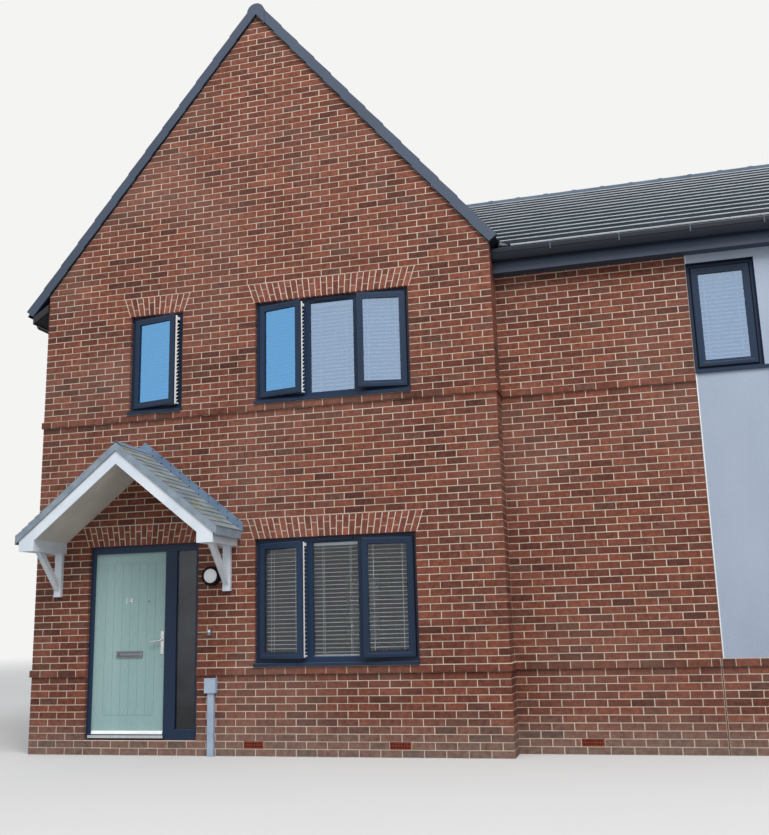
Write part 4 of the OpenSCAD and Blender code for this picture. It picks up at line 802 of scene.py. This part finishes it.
# folded sheet saddle over the canopy's ridge: an angle laid on the top tiles of both slopes
drop, sheet = canopySet["saddleWide"], canopySet["sheet"]
crest = canopySet["ridgeZ"] + canopySet["saddleUp"]
low = crest - drop * np.tan(slant)
saddle = [(canopyX + x, 0, z) for x, z in ((0, crest), (-drop, low), (-drop, low - sheet), (0, crest - sheet),
        (drop, low - sheet), (drop, low))]
makePiece("canopySaddle", [extruded(saddle, (0, wallSide, 0), (0, canopyFront + 0.001, 0))], [leadSheet], "lead")


def turnedShape(profile, count, centres):
    # a profile of (radius, height) in millimetres turned about its axis, its first and last points as poles; one
    # stands out of the street front at every centre
    radius, height = np.array(profile[1:-1]).T / 1000
    angle = np.linspace(0, 2 * np.pi, count, endpoint=False)
    ring = np.stack([radius[:, None] * np.cos(angle), radius[:, None] * np.sin(angle),
            np.repeat(height[:, None], count, 1)], axis=-1).reshape(-1, 3)
    points = np.concatenate([ring, [[0, 0, profile[i][1] / 1000] for i in (0, -1)]])
    rings, around = len(radius), np.arange(count)
    after = (around + 1) % count
    low = np.stack([after, around, np.full(count, rings * count)], 1)
    top = np.stack([around, after, np.full(count, count + 1)], 1) + (rings - 1) * count
    faces = ringFaces(rings, count, False)[:, [0, 3, 2, 1]].tolist() + low.tolist() + top.tolist()
    return [(facing(points, centre), faces) for centre in centres]


def facing(points, centre):
    # laid out of the street front: x stays, y stands up and z comes forward
    return np.stack([points[:, 0], -points[:, 2], points[:, 1]], 1) + np.array(centre)


# clout nails along both edges of the flashing
reachUp = np.arange(0.08, canopyHalf / cc - 0.04, canopySet["nailStep"])
across = canopyHalf + canopySet["flashOut"] - reachUp * cc
nailZ = canopySet["ridgeZ"] + canopySet["flashUp"] - across * np.tan(slant)
nailPlaces = [(canopyX + side * x, frontY - 0.006, z - down)
        for side in (-1, 1) for x, z in zip(across, nailZ) for down in (0.020, 0.088)]
makePiece("flashingNails", turnedShape([(0, 0), (7.5, 0), (6, 3), (0, 4.5)], 8, nailPlaces), [blackPlastic],
        "black_plastic")
print("house: canopy dressed")


lampAt = (-0.505, frontY, 1.870)
bezel = [(0, 0), (104, 0), (104, 60), (102, 67), (96, 70.5), (84, 70.5), (77.5, 64), (0, 62)]
lamp = makePiece("lampBezel", turnedShape(bezel, 64, [lampAt]), [blackPlastic], "black_plastic")
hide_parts("lamp_base")
# the dome is a quarter of an ellipse, 77.2 mm wide and 14 mm high
quarter = np.linspace(0, 1, 9)[:-1] * np.pi / 2
dome = [(0, 60), *zip(77.2 * np.cos(quarter), 62 + 14 * np.sin(quarter)), (0, 76)]
cover = makePiece("lampDome", turnedShape(dome, 64, [lampAt]), [opalPlastic], "diffuser", smooth=True)
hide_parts("lamp_diffuser")

# the gutters' high front, rolled in at the top, a clip over each union and a stop at each end; measured outwards
# from the gutter's back and up from its rim
lipSection = [(112.5, -3), (112.5, 41), (110, 47), (104, 49), (99, 46), (100, 42), (104, 43), (107, 40), (108, -3)]
clipSection = [(116.6, -30), (116.6, 43), (113, 51), (104, 53.5), (96, 51), (96, 47.5), (104, 48.5), (110, 46),
        (112.8, 40), (112.8, -30)]
stopSection = [(112.5, -6), (112.5, 41), (103, 46), (70, 3), (66, -6)]
gutterSet = {"stopWide": 0.004, "clipStep": 0.722, "clipFrom": 0.008, "clipTo": 0.018, "clear": 0.05,
        "firstClip": 0.632, "lastClip": 0.658}
# each gutter by its plane, where it starts and ends along it, and whether its clips are set out from the start
gutterLines = [(planeOf((0, -4.1948, 5.2392), (1, 0, 0)), 2.705, 9.470, True),
        (planeOf((0, 4.1948, 5.2392), (-1, 0, 0)), -9.470, -2.705, False),
        (planeOf((-2.9055, 0, 5.0758), (0, -1, 0)), -4.1875, 4.1875, False)]


def runAlong(plane, section, start, end):
    # a section of (outwards, up) in millimetres, carried along a plane
    outward, up = np.array(section).T / 1000
    return extruded(onPlane(plane, 0, up, outward)[::-1], plane["along"] * start, plane["along"] * end)


s, lips, clips = gutterSet, [], []
for plane, start, end, fromStart in gutterLines:
    lips.append(runAlong(plane, lipSection, start, end))
    for at in (start, end - s["stopWide"]):
        lips.append(runAlong(plane, stopSection, at, at + s["stopWide"]))
    places = np.arange(start + s["firstClip"], end - s["clear"], s["clipStep"])
    if not fromStart:
        places = np.arange(end - s["lastClip"], start + s["clear"], -s["clipStep"])
    clips += [runAlong(plane, clipSection, at + s["clipFrom"], at + s["clipTo"]) for at in places]
makePiece("gutterFronts", lips, [gutterPlastic], "black_plastic")
makePiece("gutterClips", clips, [clipPlastic], "black_plastic")

# white PVC stop beads down the edges of the rendered panels, the render butted up to them
beadCorners = [(-0.001, -0.012), (-0.001, 0.0015), (0.008, 0.0015), (0.010, -0.001)]
panelOut, panelTop = 0.016, 5.043
beads = []
for side in (-1, 1):
    face = side * (panelOut - wingFrontY)
    for x, turn in ((panelX, 1), (panelEnd, -1)):
        strip = [(x + turn * u, face + side * out, 0) for u, out in beadCorners][::-side * turn]
        beads += [extruded(strip, (0, 0, low), (0, 0, high))
                for low, high in ((sillZ, upperSill), (upperHead, panelTop))]
makePiece("renderBeads", beads, [whitePlastic], "white_plastic")

# brown mastic gunned into the movement joint below the panel, its face a shallow hollow
hollow = [(4.7105, 0.002), (4.7105, -0.0025), (4.705, -0.0008), (4.6995, -0.0025), (4.6995, 0.002)]
makePiece("jointMastic", [extruded([(x, wingFrontY + y, 0) for x, y in hollow], (0, 0, 0.001), (0, 0, sillZ))],
        [jointMastic], "black_plastic")

doorFaceY = frontY + 0.073
spyhole = [(0, 0), (11.5, 0), (11.5, 3), (8, 5), (6, 3), (0, 3.5)]
makePiece("spyhole", turnedShape(spyhole, 24, [(-1.303, doorFaceY, 1.623)]), [darkBronze], "bright_metal",
        body="door")


def numberShape(text, size, centre):
    # plain figures cut from sheet metal, stood off the door's face
    curve = bpy.data.curves.new("houseNumber", "FONT")
    curve.body, curve.size, curve.space_character = text, size, 1.15
    curve.align_x = curve.align_y = "CENTER"
    curve.extrude, curve.bevel_depth = 0.0022, 0.0006
    holder = inScene("numberCurve", curve)
    flat = bpy.data.meshes.new_from_object(holder.evaluated_get(bpy.context.evaluated_depsgraph_get()))
    points = np.empty(len(flat.vertices) * 3)
    flat.vertices.foreach_get("co", points)
    faces = [list(polygon.vertices) for polygon in flat.polygons]
    bpy.data.objects.remove(holder)
    return facing(points.reshape(-1, 3), centre), faces


makePiece("houseNumber", [numberShape("14", 0.095, (-1.55, doorFaceY - 0.0028, 1.633))], [brightMetal],
        "bright_metal", body="door")
doorPlane = planeOf((-1.528, doorFaceY, 1.053), (1, 0, 0))
flapSection = [(-1, -1), (-1, 4), (6, 7.5), (12, 8), (14, -1)]
makePiece("letterFlap", [mitredRing(doorPlane, -0.134, -0.0205, 0.268, 0.041, flapSection),
                       prism(doorPlane, (-0.122, -0.0105, 0.0), (0.122, 0.0105, 0.0065))],
        [darkBronze], "bright_metal", body="door")

boxPlane = planeOf((-0.565, frontY, 0.641), (1, 0, 0))
lidSection = [(-1.5, 50), (-1.5, 57), (3, 60.5), (12, 60.5), (14, 58.5), (14, 50)]
makePiece("boxLid", [mitredRing(boxPlane, 0, 0, 0.130, 0.151, lidSection),
                   prism(boxPlane, (0.013, 0.013, 0.050), (0.117, 0.138, 0.0598))],
        [greyPlastic], "grey_plastic")
button = [(0, -1), (12.5, -1), (12.5, 1), (10, 2.5), (8, 1), (0, 3)]
makePiece("bellButton", turnedShape(button, 24, [(-0.533, frontY - 0.018, 1.282)]), [whitePlastic],
        "white_plastic")
print("house: fittings")


stageSet = {"floorColour": "#c2c1bf", "floorPale": "#cccbc9", "reach": 150.0, "backdrop": "#f4f4f3",
        "bounceColour": "#9a9895", "fadeFrom": 9.0, "fadeTo": 45.0, "skyColour": "#eef2f8", "lightLevel": 0.86,
        "keyWatts": 6500.0, "keySize": 13.0, "keyPlace": (8.0, -17.0, 24.5), "keyAim": (2.0, 0.0, 3.0)}


def floorMaterial(s):
    # matt pale floor that fades into the background with distance, by smoothstep; it lights the house as a mid grey
    material, add, place = startMaterial("mattFloor")
    cloud = add("TexNoise", [place, millimetres(5000), 3])
    colour = add("Mix", [cloud, s["floorColour"], s["floorPale"]], data_type="RGBA")
    reach = add("VectorMath", [place], operation="LENGTH")
    away = add("MapRange", [reach, s["fadeFrom"], s["fadeTo"]], interpolation_type="SMOOTHSTEP")
    seen = add("MixShader", [away, add("BsdfDiffuse", [colour]), add("Emission", [s["backdrop"], 1.0])])
    grey = add("BsdfDiffuse", [s["bounceColour"]])
    bounced = add("LightPath").outputs["Is Diffuse Ray"]
    add("OutputMaterial", [add("MixShader", [bounced, seen, grey])])
    return material


def addFloor(s):
    mesh = bpy.data.meshes.new("paleFloor")
    corners = np.array([[-1, -1, 0], [1, -1, 0], [1, 1, 0], [-1, 1, 0]]) * s["reach"]
    mesh.from_pydata((corners + [0, 0, -0.001]).tolist(), [], [[0, 1, 2, 3]])
    mesh.materials.append(floorMaterial(s))
    inScene("paleFloor", mesh)


def addWorld(s):
    # soft daylight for the surfaces, the plain backdrop for what is seen directly, in a mirror or through glass
    world = bpy.data.worlds.new("softDaylight")
    bpy.context.scene.world = world
    world.use_nodes = True
    add = nodeAdder(world.node_tree)
    path = add("LightPath").outputs
    seen = add("Math", [path["Is Camera Ray"], path["Is Glossy Ray"]], operation="MAXIMUM")
    seen = add("Math", [seen, path["Is Transmission Ray"]], operation="MAXIMUM")
    sky, paper = add("Background", [s["skyColour"], s["lightLevel"]]), add("Background", [s["backdrop"], 1.0])
    add("OutputWorld", [add("MixShader", [seen, sky, paper])])


def addKeyLamp(s):
    # one large soft lamp, its own z pointing back from where it aims
    lamp = bpy.data.lights.new("softKey", "AREA")
    lamp.energy = s["keyWatts"]
    lamp.size = s["keySize"]
    back = np.array(s["keyPlace"]) - np.array(s["keyAim"])
    back /= np.linalg.norm(back)
    right = np.cross([0, 0, 1.0], back)
    right /= np.linalg.norm(right)
    inScene("softKey", lamp, [right, np.cross(back, right), back], s["keyPlace"])


addFloor(stageSet)
addWorld(stageSet)
addKeyLamp(stageSet)
print("house: stage set")
